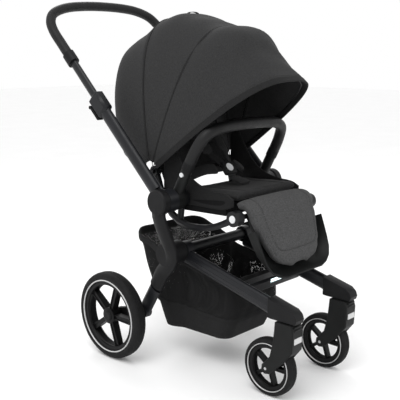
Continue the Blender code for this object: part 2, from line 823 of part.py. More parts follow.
def backrest_shell():
    """The board behind the backrest, hinged at the back of the seat."""
    length = 0.360
    tilt = (BACK_TILT - math.pi / 2, 0, 0)
    shell = block("backrest_shell", (0.290, 0.012, length),
                  (0, *along_back(length / 2 + 0.012, -0.010)), turn=tilt, bevel=0.004)
    return paint(shell, FABRIC_GREY, 0.8)


def backrest_pad():
    """The soft pad on the backrest."""
    length = 0.342
    tilt = (BACK_TILT - math.pi / 2, 0, 0)
    pad = block("backrest_pad", (0.280, 0.028, length),
                (0, *along_back(length / 2 + 0.022, 0.0106)), turn=tilt, bevel=0.010)
    return paint(pad, PAD_GREY, 0.9)


def calf_frame():
    """Unit vectors down the calf rest and forward out of it, as (y, z) pairs."""
    down = Vector((-0.062, -0.150)).normalized()
    front = Vector((down.y, -down.x))
    return down, front


def along_calf(distance, forward):
    """The (y, z) point down the calf rest from its pivot, and forward of the pivot's line."""
    down, front = calf_frame()
    point = Vector(CALF_PIVOT) + down * distance + front * forward
    return point.x, point.y


def calf_pad():
    """The soft leg rest: a roll round the pivot and a tapering pad below it."""
    roll = drum("calf_pad", CALF_ROLL_RADIUS, -0.150, 0.150, CALF_PIVOT, 24, bevel=0.008)
    widths = [(0.000, 0.150), (0.050, 0.143), (0.100, 0.128), (0.140, 0.108), (0.158, 0.080),
              (0.164, 0.030)]
    work = bmesh.new()
    front_row, back_row = [], []
    for distance, half in widths:
        for sign in (-1, 1):
            front_row.append(work.verts.new((sign * half, *along_calf(distance, 0.0440))))
            back_row.append(work.verts.new((sign * half, *along_calf(distance, 0.0160))))
    for step in range(len(widths) - 1):
        a, b = 2 * step, 2 * step + 1
        c, d = a + 2, b + 2
        work.faces.new((front_row[a], front_row[b], front_row[d], front_row[c]))
        work.faces.new((back_row[b], back_row[a], back_row[c], back_row[d]))
        work.faces.new((front_row[a], front_row[c], back_row[c], back_row[a]))
        work.faces.new((front_row[d], front_row[b], back_row[b], back_row[d]))
    work.faces.new((front_row[1], front_row[0], back_row[0], back_row[1]))
    work.faces.new((front_row[-2], front_row[-1], back_row[-1], back_row[-2]))
    slab = settle(link_mesh("slab", work))
    pad = join(roll, slab)
    bore = drum("bore", 0.0078, -0.2, 0.2, CALF_PIVOT, 20)
    return paint(cut(pad, bore), PAD_GREY, 0.9)


def calf_shell():
    """The dished shell behind the leg rest and the rod it turns on.

    Each level is (distance down, half width, half width of the flat floor, floor height).
    """
    floor = 0.0122
    levels = [
        (0.0485, 0.1515, 0.1455, floor),
        (0.080, 0.1505, 0.1420, floor),
        (0.115, 0.1490, 0.1340, floor),
        (0.145, 0.1450, 0.1180, floor),
        (0.168, 0.1330, 0.1000, floor + 0.004),
        (0.182, 0.1120, 0.0860, floor + 0.018),
        (0.190, 0.0840, 0.0700, SHELL_RIM),
    ]
    work = bmesh.new()
    rows = []
    for distance, half, flat, height in levels:
        side_height = max(height, SHELL_RIM - 0.014)
        across = [(-half, SHELL_RIM), (-(half + flat) / 2, side_height), (-flat, height),
                  (0, height), (flat, height), ((half + flat) / 2, side_height),
                  (half, SHELL_RIM)]
        rows.append([work.verts.new((x, *along_calf(distance, forward))) for x, forward in across])
    for first, second in zip(rows, rows[1:]):
        for step in range(len(first) - 1):
            work.faces.new((first[step], first[step + 1], second[step + 1], second[step]))
    bmesh.ops.recalc_face_normals(work, faces=work.faces)
    shell = link_mesh("calf_shell", work)
    wall = shell.modifiers.new("wall", "SOLIDIFY")
    wall.thickness = 0.0042
    wall.offset = 1
    shell = settle(shell)
    axle = drum("axle", 0.0070, -0.1660, 0.1660, CALF_PIVOT, 20)
    return shell, axle


def calf_rest():
    """The leg rest's two pieces; the shell reaches its axle by a web through the pad's roll."""
    pad = calf_pad()
    shell, axle = calf_shell()
    web_outline = [along_calf(0, -0.0045), along_calf(0.060, 0.0040), along_calf(0.060, 0.0130),
                   along_calf(0, 0.0045)]
    web = plate("web", web_outline, -0.120, 0.120)
    slot_outline = [along_calf(-0.004, -0.0055), along_calf(0.064, 0.0026),
                    along_calf(0.064, 0.0145), along_calf(-0.004, 0.0055)]
    slot = plate("slot", slot_outline, -0.1208, 0.1208)
    pad = paint(cut(pad, slot), PAD_GREY, 0.9)
    shell = join(shell, web, axle)
    return [pad, paint(shell, FRAME_BLACK, 0.55)]


def calf_button(label, side):
    """The round release button over the calf rest's pivot."""
    button = drum(f"calf_button_{label}", 0.0105, side * 0.1745, side * 0.1832, CALF_PIVOT, 24,
                  bevel=0.001)
    return paint(button, LIGHT_GREY, 0.4)


def buckle():
    """The harness buckle on its crotch strap, with a recess for the button."""
    tilt = (BUCKLE_TILT, 0, 0)
    body = block("harness_buckle", (0.052, 0.014, 0.044), (0, *BUCKLE), turn=tilt, bevel=0.005)
    strap = block("strap", (0.030, 0.0040, 0.036), (0, -0.2620, 0.5680),
                  turn=(math.radians(-15), 0, 0))
    forward = Vector((0, -math.cos(BUCKLE_TILT), -math.sin(BUCKLE_TILT)))
    face = Vector((0, *BUCKLE)) + forward * 0.007
    recess = rod("recess", 0.0135, face - forward * 0.0040, face + forward * 0.01, 24)
    return paint(cut(join(body, strap), recess), SOFT_BLACK, 0.4)


def buckle_button():
    """The round button in the middle of the buckle."""
    forward = Vector((0, -math.cos(BUCKLE_TILT), -math.sin(BUCKLE_TILT)))
    face = Vector((0, *BUCKLE)) + forward * 0.007
    button = rod("buckle_button", 0.0130, face - forward * 0.0015, face + forward * 0.0015, 24)
    return paint(button, LIGHT_GREY, 0.35)


# ---------------------------------------------------------------- bumper bar


def bumper_bar():
    """The padded bumper bar with a spigot at each end."""
    reach = BUMPER_REACH
    start = SOCKET_LENGTH + GAP
    half = [
        (BUMPER_X, *along_bumper(start)),
        (BUMPER_X, *along_bumper(start + 0.035)),
        (BUMPER_X - 0.003, *along_bumper(reach - 0.055)),
        (BUMPER_X - 0.018, *along_bumper(reach - 0.014)),
        (BUMPER_X - 0.055, *along_bumper(reach + 0.006)),
        (BUMPER_X - 0.110, *along_bumper(reach + 0.013)),
    ]
    path = [(-x, y, z) for x, y, z in half]
    path += [(0, *along_bumper(reach + 0.015))]
    path += [(x, y, z) for x, y, z in reversed(half)]
    bar = bent_tube("bumper_bar", path, BUMPER_RADIUS, resolution=2, sides=2)
    for side in SIDES.values():
        spigot = rod("spigot", 0.0090, (side * BUMPER_X, *along_bumper(start - 0.022)),
                     (side * BUMPER_X, *along_bumper(start + 0.010)), 16)
        bar = join(bar, spigot)
    return paint(bar, SOFT_BLACK, 0.6)


def bumper_button(label, side):
    """The release button on the outer side of a bumper bar socket."""
    at = along_bumper(SOCKET_LENGTH - 0.014)
    button = drum(f"bumper_button_{label}", 0.0064, side * (BUMPER_X + 0.0138),
                  side * (BUMPER_X + 0.0178), at, 20)
    return paint(button, LIGHT_GREY, 0.4)


# ---------------------------------------------------------------- canopy


def bow_point(height, tilt, half_width, turn):
    """One point of an arch: turn goes from 0 at the right pivot to pi at the left one."""
    across = -half_width * math.copysign(abs(math.cos(turn)) ** CANOPY_ROUNDING, math.cos(turn))
    rise = height * abs(math.sin(turn)) ** CANOPY_ROUNDING
    y = CANOPY_PIVOT[0] - rise * math.cos(tilt)
    z = CANOPY_PIVOT[1] + rise * math.sin(tilt)
    return across, y, z


def canopy_height(tilt):
    """Height of the fabric over the pivot at a tilt, swelling between the bows."""
    for (low, first), (high, second) in zip(CANOPY_STATIONS, CANOPY_STATIONS[1:]):
        low, high = math.radians(low), math.radians(high)
        if tilt <= high + 1e-9:
            return first + (second - first) * (tilt - low) / (high - low)
    return CANOPY_STATIONS[-1][1]


def canopy_grid(work, tilts, inset):
    """Rows of vertices over the arch at each tilt, the whole surface moved in by inset."""
    rows = []
    for tilt in tilts:
        height = canopy_height(tilt) - inset
        row = []
        for step in range(CANOPY_STEPS + 1):
            turn = LOWEST_TURN + (math.pi - 2 * LOWEST_TURN) * step / CANOPY_STEPS
            half_width = CANOPY_HALF_WIDTH - inset
            row.append(work.verts.new(bow_point(height, tilt, half_width, turn)))
        rows.append(row)
    return rows


def canopy_panel(name, tilt_from, tilt_to):
    """A curved closed sheet of the canopy between two tilts, stopping short of the pivots."""
    between = [math.radians(tilt) for tilt, _ in CANOPY_STATIONS]
    between = [tilt for tilt in between if tilt_from + 0.02 < tilt < tilt_to - 0.02]
    tilts = [tilt_from, *between, tilt_to]
    work = bmesh.new()
    outer = canopy_grid(work, tilts, 0)
    inner = canopy_grid(work, tilts, CANOPY_SKIN)
    for rows in (outer, inner):
        for first, second in zip(rows, rows[1:]):
            for step in range(CANOPY_STEPS):
                corners = (first[step], first[step + 1], second[step + 1], second[step])
                work.faces.new(corners)
    for out_row, in_row in ((outer[0], inner[0]), (outer[-1], inner[-1])):
        for step in range(CANOPY_STEPS):
            work.faces.new((out_row[step], out_row[step + 1], in_row[step + 1], in_row[step]))
    for end in (0, -1):
        for row in range(len(outer) - 1):
            corners = (outer[row][end], outer[row + 1][end], inner[row + 1][end], inner[row][end])
            work.faces.new(corners)
    bmesh.ops.recalc_face_normals(work, faces=work.faces)
    return paint(settle(link_mesh(name, work)), FABRIC_GREY, 0.9)


def canopy_bow(name, height, tilt, layer):
    """A flat spring-steel bow under the fabric, with an eye at each pivot."""
    half_width = CANOPY_HALF_WIDTH - 0.0050 - 0.0030 * layer
    steps = 14
    path = []
    for step in range(steps + 1):
        turn = math.pi * step / steps
        path.append(bow_point(height - 0.0085, tilt, half_width, turn))
    bow = bent_tube(name, path, 0.0013, resolution=1, sides=1)
    for side in SIDES.values():
        eye = drum("eye", 0.0075, side * (half_width - 0.0012), side * (half_width + 0.0012),
                   CANOPY_PIVOT, 16)
        bow = join(bow, eye)
    return paint(bow, LIGHT_GREY, 0.4, 0.8)


def canopy():
    """The three panels and the three bows of the canopy."""
    seam = math.radians(0.12)
    end = math.radians(165)
    front_tilt, middle_tilt, rear_tilt = FRONT_BOW[1], MIDDLE_BOW[1], REAR_BOW[1]
    return {
        "front_panel": canopy_panel("canopy_front_panel", front_tilt, middle_tilt - seam),
        "middle_panel": canopy_panel("canopy_middle_panel", middle_tilt + seam, rear_tilt - seam),
        "rear_panel": canopy_panel("canopy_rear_panel", rear_tilt + seam, end),
        "front_bow": canopy_bow("canopy_front_bow", FRONT_BOW[0] - 0.005, math.radians(37.5), 0),
        "middle_bow": canopy_bow("canopy_middle_bow", MIDDLE_BOW[0], MIDDLE_BOW[1], 1),
        "rear_bow": canopy_bow("canopy_rear_bow", REAR_BOW[0], REAR_BOW[1], 2),
    }


# ---------------------------------------------------------------- basket


def basket():
    """The shopping basket: an open-topped bag with thin walls between the legs."""
    # Each level is (height, rear y, front y, rear half width, front half width).
    levels = [
        (0.098, -0.088, -0.330, 0.126, 0.102),
        (0.120, -0.072, -0.350, 0.133, 0.106),
        (0.210, -0.040, -0.362, 0.139, 0.109),
        (0.300, -0.008, -0.366, 0.142, 0.111),
    ]
    rear_y, rear_z = 0.022, 0.388
    front_y, front_z = -0.366, 0.285
    sag = 0.012

    def rim_height(y):
        share = (y - front_y) / (rear_y - front_y)
        return front_z + (rear_z - front_z) * share - sag * math.sin(math.pi * share)

    work = bmesh.new()
    rings = []
    for z, rear, front, rear_half, front_half in levels:
        rings.append(basket_ring(work, rear, front, rear_half, front_half, lambda y, z=z: z))
    rings.append(basket_ring(work, rear_y, front_y, 0.143, 0.111, rim_height))
    for first, second in zip(rings, rings[1:]):
        for step in range(len(first)):
            after = (step + 1) % len(first)
            work.faces.new((first[step], first[after], second[after], second[step]))
    work.faces.new(list(reversed(rings[0])))
    bmesh.ops.recalc_face_normals(work, faces=work.faces)
    obj = link_mesh("basket", work)
    walls = obj.modifiers.new("walls", "SOLIDIFY")
    walls.thickness = 0.004
    walls.offset = -1
    return paint(settle(obj), (0.045, 0.045, 0.047), 0.9)


def basket_ring(work, rear, front, rear_half, front_half, height_at):
    """One level round the basket with rounded corners, drawn in beside the front frame."""
    corner = 0.030
    arc_steps = 4
    waist = [(-0.132, rear_half - 0.002), (-0.166, (rear_half + 2 * front_half) / 3 - 0.002)]
    quadrants = [(rear, rear_half, 1), (rear, rear_half, -1), (front, front_half, -1),
                 (front, front_half, 1)]
    outline_points = []
    for quadrant, (end, half, side) in enumerate(quadrants):
        inward = -corner if end == rear else corner
        for step in range(arc_steps):
            turn = math.radians(90 * (quadrant + step / (arc_steps - 1)))
            x = side * (half - corner) + corner * math.cos(turn)
            outline_points.append((x, end + inward + corner * math.sin(turn)))
        if quadrant == 1:
            outline_points += [(-half_at, y) for y, half_at in waist]
    outline_points += [(half_at, y) for y, half_at in reversed(waist)]
    return [work.verts.new((x, y, height_at(y))) for x, y in outline_points]


# ---------------------------------------------------------------- assembly


def body_empty(name, place, parent=None):
    """An empty on a body's joint axis."""
    empty = bpy.data.objects.new(name, None)
    empty.empty_display_size = 0.03
    PARTS.objects.link(empty)
    empty.location = place
    if parent:
        bpy.context.view_layer.update()
        empty.parent = parent
        empty.matrix_parent_inverse = parent.matrix_world.inverted()
    bpy.context.view_layer.update()
    return empty


def hang(empty, pieces):
    """Parent pieces to a body's empty without moving them."""
    for piece in pieces:
        piece.parent = empty
        piece.matrix_parent_inverse = empty.matrix_world.inverted()


def build():
    """Make every part and parent it to its body."""
    stroller = body_empty("stroller", (0, 0, 0))
    root_parts = [rear_cross_bar(), seat_base(), seat_cushion(), buckle(), basket()]
    front_frame = body_empty("front_frame", (0, *CROSS_BAR), stroller)
    push_bar = body_empty("push_bar", (0, *HUB), stroller)
    handle = body_empty("handle", (0, *along_push(GRIP_START)), push_bar)
    hang(front_frame, [front_cross_bar(), light_lens()])
    hang(handle, [grip()])

    for label, side in SIDES.items():
        arm = axle_arm(label, side)
        if label == "left":
            arm = brake_bracket(arm)
        root_parts += [rear_leg(label, side), leg_tube(label, side), arm]
        root_parts += [seat_hub(label, side), seat_rail(label, side)]
        spin = body_empty(f"rear_wheel_{label}", (side * REAR_TRACK, 0, REAR_RADIUS), stroller)
        hang(spin, rear_wheel(label, side))

        hang(front_frame, [lower_tube(label, side), caster_cap(label, side)])
        swivel = body_empty(f"caster_{label}", (side * FRONT_TRACK, SWIVEL_Y, 0.22), front_frame)
        hang(swivel, [fork(label, side), front_axle(label, side)])
        hub_at = (side * FRONT_TRACK, -WHEELBASE, FRONT_RADIUS)
        hang(body_empty(f"front_wheel_{label}", hub_at, swivel), front_wheel(label, side))

        hang(push_bar, [push_tube(label, side)])
        lever_at = (side * PUSH_X, *along_push(0.386, -0.0330))
        hang(body_empty(f"lever_{label}", lever_at, push_bar), [adjust_lever(label, side)])
        hang(handle, [inner_tube(label, side), grip_collar(label, side)])

        calf_at = (side * 0.179, *CALF_PIVOT)
        hang(body_empty(f"calf_press_{label}", calf_at, stroller), [calf_button(label, side)])
        press_at = (side * BUMPER_X, *along_bumper(SOCKET_LENGTH - 0.014))
        hang(body_empty(f"bumper_press_{label}", press_at, stroller), [bumper_button(label, side)])

    press_at = (-PUSH_X + 0.0175, *along_push(GRIP_START + 0.006))
    hang(body_empty("handle_press", press_at, handle), [handle_button()])
    hang(body_empty("brake", (0.21, *BRAKE_PIVOT), stroller), [brake_pedal()])
    hang(body_empty("backrest", (0, *RECLINE_PIVOT), stroller), [backrest_shell(), backrest_pad()])
    hang(body_empty("calf_rest", (0, *CALF_PIVOT), stroller), calf_rest())
    hang(body_empty("bumper", (0, *along_bumper(SOCKET_LENGTH)), stroller), [bumper_bar()])
    hang(body_empty("buckle_press", (0, *BUCKLE), stroller), [buckle_button()])

    hood = canopy()
    root_parts += [hood["rear_panel"], hood["rear_bow"]]
    front = body_empty("canopy_front", (0, *CANOPY_PIVOT), stroller)
    hang(front, [hood["front_panel"], hood["front_bow"]])
    middle = body_empty("canopy_middle", (0, *CANOPY_PIVOT), stroller)
    hang(middle, [hood["middle_panel"], hood["middle_bow"]])
    hang(stroller, root_parts)
    return stroller


clear_scene()
PARTS = new_collection("baby_stroller")
STROLLER = build()
FOOTPRINT_MIDDLE = 0.13885
STROLLER.location.y = FOOTPRINT_MIDDLE
bpy.context.view_layer.update()
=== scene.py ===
"""Looks of a full-size baby stroller, built round its fixed frame.

Metres, +Z up. The stroller faces -Y and is symmetric about X = 0. Lengths along Y are stated from
the rear axle, and `place` moves them to the frame, whose origin is the middle of the footprint.
"right" is the child's right, on the -X side.
"""

from __future__ import annotations

import logging
import math
from collections.abc import Callable, Iterable, Sequence
from dataclasses import dataclass, field
from enum import Enum

import bmesh
import bpy
from mathutils import Matrix, Vector
from mathutils.bvhtree import BVHTree


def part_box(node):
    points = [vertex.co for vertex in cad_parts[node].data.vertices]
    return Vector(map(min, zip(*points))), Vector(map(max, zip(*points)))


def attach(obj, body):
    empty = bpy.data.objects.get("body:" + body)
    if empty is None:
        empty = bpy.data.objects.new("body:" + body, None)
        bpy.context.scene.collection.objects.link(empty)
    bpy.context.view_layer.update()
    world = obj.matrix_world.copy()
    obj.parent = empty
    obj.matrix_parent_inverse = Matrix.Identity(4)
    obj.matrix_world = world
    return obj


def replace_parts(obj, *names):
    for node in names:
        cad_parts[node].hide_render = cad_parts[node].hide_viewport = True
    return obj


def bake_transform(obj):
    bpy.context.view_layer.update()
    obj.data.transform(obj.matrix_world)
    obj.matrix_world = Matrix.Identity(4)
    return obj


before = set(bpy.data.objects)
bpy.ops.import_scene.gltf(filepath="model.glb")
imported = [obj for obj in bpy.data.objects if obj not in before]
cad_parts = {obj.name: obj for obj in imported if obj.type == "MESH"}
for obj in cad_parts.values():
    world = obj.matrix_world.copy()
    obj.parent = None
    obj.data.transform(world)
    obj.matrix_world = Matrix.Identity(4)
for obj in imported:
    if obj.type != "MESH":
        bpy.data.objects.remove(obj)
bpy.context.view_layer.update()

LOG = logging.getLogger("stroller")
WAVES_PER_UNIT = 20.0
FOOTPRINT_MIDDLE = 0.13885
Point = tuple[float, float, float]
Pair = tuple[float, float]


class Side(Enum):
    """The child's right and left."""

    RIGHT = -1
    LEFT = 1

    @property
    def label(self) -> str:
        """The word used in piece names."""
        return self.name.lower()


def place(x: float, y: float, z: float) -> Vector:
    """Move a point stated from the rear axle into the frame."""
    return Vector((x, y + FOOTPRINT_MIDDLE, z))


# ------------------------------------------------------------------------------ finishes


class Sheet:
    """A small node graph that ends in one Principled shader."""

    def __init__(self, name: str) -> None:
        """Start a material with its shader and the object's own coordinates."""
        self.material = bpy.data.materials.new(name)
        self.material.use_nodes = True
        self.tree = self.material.node_tree
        self.shader = self.tree.nodes["Principled BSDF"]
        self.where = self.tree.nodes.new("ShaderNodeTexCoord").outputs["Object"]

    def set(self, **values: float | tuple[float, ...]) -> None:
        """Set shader sockets by name, with _ for a space."""
        for key, value in values.items():
            self.shader.inputs[key.replace("_", " ")].default_value = value

    def node(self, kind: str, links: dict | None = None, **settings) -> bpy.types.Node:
        """Add a node.

        Args:
            kind: Blender's node type without the ShaderNode prefix.
            links: input name or index to an output socket or a constant.
            settings: node properties.

        Returns:
            The node.
        """
        made = self.tree.nodes.new("ShaderNode" + kind)
        for key, value in settings.items():
            setattr(made, key, value)
        for key, value in (links or {}).items():
            if isinstance(value, bpy.types.NodeSocket):
                self.tree.links.new(value, made.inputs[key])
            else:
                made.inputs[key].default_value = value
        return made

    def noise(self, scale: float, detail: float = 2.0, where=None) -> bpy.types.NodeSocket:
        """Soft noise in object space."""
        spot = where or self.where
        made = self.node("TexNoise", {"Vector": spot, "Scale": scale, "Detail": detail})
        return made.outputs["Fac"]

    def stretched(self, scale: Point) -> bpy.types.NodeSocket:
        """Object coordinates scaled along each axis."""
        made = self.node("Mapping", {"Vector": self.where, "Scale": scale})
        return made.outputs["Vector"]

    def math(self, operation: str, first, second=0.0) -> bpy.types.NodeSocket:
        """One arithmetic step."""
        made = self.node("Math", {0: first, 1: second}, operation=operation)
        return made.outputs[0]

    def between(self, value, low: float, high: float) -> bpy.types.NodeSocket:
        """Spread a 0 to 1 value over a range."""
        made = self.node("MapRange", {"Value": value, "From Min": 0.3, "From Max": 0.7,
                                      "To Min": low, "To Max": high})
        return made.outputs["Result"]

    def colours(self, value, dark: Sequence[float], light: Sequence[float],
                ends: Pair = (0.3, 0.7)) -> bpy.types.NodeSocket:
        """Blend two colours by a value."""
        ramp = self.node("ValToRGB", {"Fac": value})
        ramp.color_ramp.elements[0].position = ends[0]
        ramp.color_ramp.elements[1].position = ends[1]
        ramp.color_ramp.elements[0].color = (*dark, 1)
        ramp.color_ramp.elements[1].color = (*light, 1)
        return ramp.outputs["Color"]

    def bump(self, height, strength: float, distance: float) -> None:
        """Raise the surface by a height pattern."""
        made = self.node("Bump", {"Height": height, "Strength": strength, "Distance": distance})
        self.tree.links.new(made.outputs["Normal"], self.shader.inputs["Normal"])

    def feed(self, socket: str, value) -> None:
        """Link a value or colour to a shader socket."""
        self.tree.links.new(value, self.shader.inputs[socket])


def scaled(colour: Sequence[float], factor: float) -> Point:
    """A colour made lighter or darker."""
    return tuple(min(1.0, part * factor) for part in colour)


@dataclass(frozen=True)
class PowderCoat:
    """Satin powder coat: fine orange peel, slightly uneven gloss, rubbed lighter patches."""

    name: str
    colour: Point
    roughness: float = 0.38

    def make(self) -> bpy.types.Material:
        """Build the material."""
        sheet = Sheet(self.name)
        patches = sheet.noise(9.0, 4.0)
        sheet.feed("Base Color", sheet.colours(patches, scaled(self.colour, 0.85),
                                               scaled(self.colour, 1.25)))
        sheet.feed("Roughness", sheet.between(sheet.noise(60.0, 3.0), self.roughness - 0.05,
                                              self.roughness + 0.06))
        sheet.set(Specular_IOR_Level=0.22)
        sheet.bump(sheet.noise(1300.0), 0.12, 0.0004)
        return sheet.material


@dataclass(frozen=True)
class Moulding:
    """Moulded plastic with a fine spark-eroded grain."""

    name: str
    colour: Point
    roughness: float = 0.5
    grain: float = 900.0
    gloss: float = 0.16

    def make(self) -> bpy.types.Material:
        """Build the material."""
        sheet = Sheet(self.name)
        cells = sheet.node("TexVoronoi", {"Vector": sheet.where, "Scale": self.grain})
        sheet.feed("Base Color", sheet.colours(sheet.noise(14.0, 5.0),
                                               scaled(self.colour, 0.88),
                                               scaled(self.colour, 1.18)))
        sheet.feed("Roughness", sheet.between(sheet.noise(35.0, 4.0), self.roughness - 0.05,
                                              self.roughness + 0.07))
        sheet.set(Specular_IOR_Level=self.gloss)
        sheet.bump(cells.outputs["Distance"], 0.22, 0.0003)
        return sheet.material


@dataclass(frozen=True)
class Rubber:
    """Foam-filled tyre rubber, matt with a little dust."""

    name: str
    colour: Point

    def make(self) -> bpy.types.Material:
        """Build the material."""
        sheet = Sheet(self.name)
        dust = sheet.math("MULTIPLY", sheet.noise(22.0, 6.0), sheet.noise(160.0, 3.0))
        sheet.feed("Base Color", sheet.colours(dust, self.colour, scaled(self.colour, 1.9),
                                               (0.18, 0.5)))
        sheet.feed("Roughness", sheet.between(sheet.noise(80.0, 2.0), 0.62, 0.78))
        sheet.set(Specular_IOR_Level=0.15)
        sheet.bump(sheet.noise(700.0, 3.0), 0.25, 0.0004)
        return sheet.material


@dataclass(frozen=True)
class Leatherette:
    """Grained leatherette: pebbled cells of uneven size with creases between them."""

    name: str
    colour: Point

    def make(self) -> bpy.types.Material:
        """Build the material."""
        sheet = Sheet(self.name)
        warp = sheet.node("TexNoise", {"Vector": sheet.where, "Scale": 130.0})
        shrink = sheet.node("VectorMath", {0: warp.outputs["Color"]}, operation="SCALE")
        shrink.inputs["Scale"].default_value = 0.0022
        mixed = sheet.node("VectorMath", {0: sheet.where, 1: shrink.outputs["Vector"]},
                           operation="ADD")
        cells = sheet.node("TexVoronoi", {"Vector": mixed.outputs["Vector"], "Scale": 520.0},
                           feature="DISTANCE_TO_EDGE")
        pebbles = sheet.math("MINIMUM", cells.outputs["Distance"], 0.16)
        sheet.feed("Base Color", sheet.colours(sheet.noise(18.0, 4.0),
                                               scaled(self.colour, 0.8),
                                               scaled(self.colour, 1.3)))
        sheet.feed("Roughness", sheet.between(sheet.noise(40.0, 3.0), 0.42, 0.56))
        sheet.set(Specular_IOR_Level=0.25)
        sheet.bump(pebbles, 0.5, 0.0012)
        return sheet.material


@dataclass(frozen=True)
class Woven:
    """Woven cloth: crossing threads, melange flecks and a soft sheen."""

    name: str
    colour: Point
    fleck: float = 1.5
    pitch: float = 0.0011
    sheen: float = 0.04

    def make(self) -> bpy.types.Material:
        """Build the material."""
        sheet = Sheet(self.name)
        waves = 1 / (WAVES_PER_UNIT * self.pitch)
        across = sheet.node("TexWave", {"Vector": sheet.where, "Scale": waves,
                                        "Distortion": 0.6}, bands_direction="X")
        along = sheet.node("TexWave", {"Vector": sheet.where, "Scale": waves,
                                       "Distortion": 0.6}, bands_direction="Z")
        weave = sheet.math("MAXIMUM", across.outputs["Fac"], along.outputs["Fac"])
        threads = sheet.noise(1.0, 3.0, sheet.stretched((900.0, 900.0, 140.0)))
        weft = sheet.noise(1.0, 3.0, sheet.stretched((140.0, 500.0, 900.0)))
        melange = sheet.math("MULTIPLY", sheet.math("ADD", threads, weft), 0.5)
        sheet.feed("Base Color", sheet.colours(melange, scaled(self.colour, 0.72),
                                               scaled(self.colour, self.fleck), (0.4, 0.62)))
        sheet.feed("Roughness", sheet.between(melange, 0.82, 0.95))
        sheet.set(Sheen_Weight=self.sheen, Sheen_Roughness=0.45, Specular_IOR_Level=0.10)
        height = sheet.math("ADD", sheet.math("MULTIPLY", weave, 0.6), melange)
        sheet.bump(height, 0.35, 0.0006)
        return sheet.material


@dataclass(frozen=True)
class Netting:
    """Knitted net that light passes through."""

    name: str
    colour: Point
    pitch: float = 0.0016
    solid: float = 0.74

    def make(self) -> bpy.types.Material:
        """Build the material."""
        sheet = Sheet(self.name)
        cells = sheet.node("TexVoronoi", {"Vector": sheet.where, "Scale": 1 / self.pitch,
                                          "Randomness": 0.35})
        hole = sheet.math("LESS_THAN", cells.outputs["Distance"], 1.0 - self.solid + 0.12)
        yarn = sheet.math("SUBTRACT", 1.0, hole)
        sheet.feed("Alpha", yarn)
        sheet.feed("Base Color", sheet.colours(sheet.noise(400.0), scaled(self.colour, 0.8),
                                               scaled(self.colour, 1.2)))
        sheet.set(Roughness=0.85, Specular_IOR_Level=0.2)
        sheet.bump(cells.outputs["Distance"], 0.3, 0.0006)
        return sheet.material


@dataclass(frozen=True)
class Reflective:
    """Retroreflective tape: tiny glass beads under a clear film."""

    name: str
    colour: Point
    roughness: float = 0.35

    def make(self) -> bpy.types.Material:
        """Build the material."""
        sheet = Sheet(self.name)
        beads = sheet.node("TexVoronoi", {"Vector": sheet.where, "Scale": 1500.0})
        sheet.feed("Base Color", sheet.colours(beads.outputs["Distance"],
                                               scaled(self.colour, 1.08),
                                               scaled(self.colour, 0.86), (0.1, 0.6)))
        sheet.set(Roughness=self.roughness, Specular_IOR_Level=0.7, Coat_Weight=0.3)
        sheet.bump(beads.outputs["Distance"], 0.2, 0.0002)
        return sheet.material


@dataclass(frozen=True)
class LightLens:
    """The clear lens of the front light, glowing from its lamp."""

    name: str
    colour: Point
    glow: float = 2.0

    def make(self) -> bpy.types.Material:
        """Build the material."""
        sheet = Sheet(self.name)
        ribs = sheet.node("TexWave", {"Vector": sheet.where, "Scale": 90.0},
                          bands_direction="X")
        sheet.feed("Base Color", sheet.colours(ribs.outputs["Fac"], self.colour,
                                               (0.95, 1.0, 1.0)))
        sheet.set(Roughness=0.12, Emission_Color=(0.75, 0.97, 1.0, 1.0),
                  Emission_Strength=self.glow, Coat_Weight=0.5)
        sheet.bump(ribs.outputs["Fac"], 0.3, 0.0005)
        return sheet.material


@dataclass(frozen=True)
class PlatedSteel:
    """Zinc-plated steel with fine drawing lines."""

    name: str
    colour: Point = (0.55, 0.55, 0.56)

    def make(self) -> bpy.types.Material:
        """Build the material."""
        sheet = Sheet(self.name)
        lines = sheet.noise(1.0, 4.0, sheet.stretched((40.0, 1500.0, 1500.0)))
        sheet.feed("Base Color", sheet.colours(lines, scaled(self.colour, 0.8),
                                               scaled(self.colour, 1.15)))
        sheet.feed("Roughness", sheet.between(lines, 0.24, 0.4))
        sheet.set(Metallic=1.0)
        sheet.bump(lines, 0.15, 0.0002)
        return sheet.material


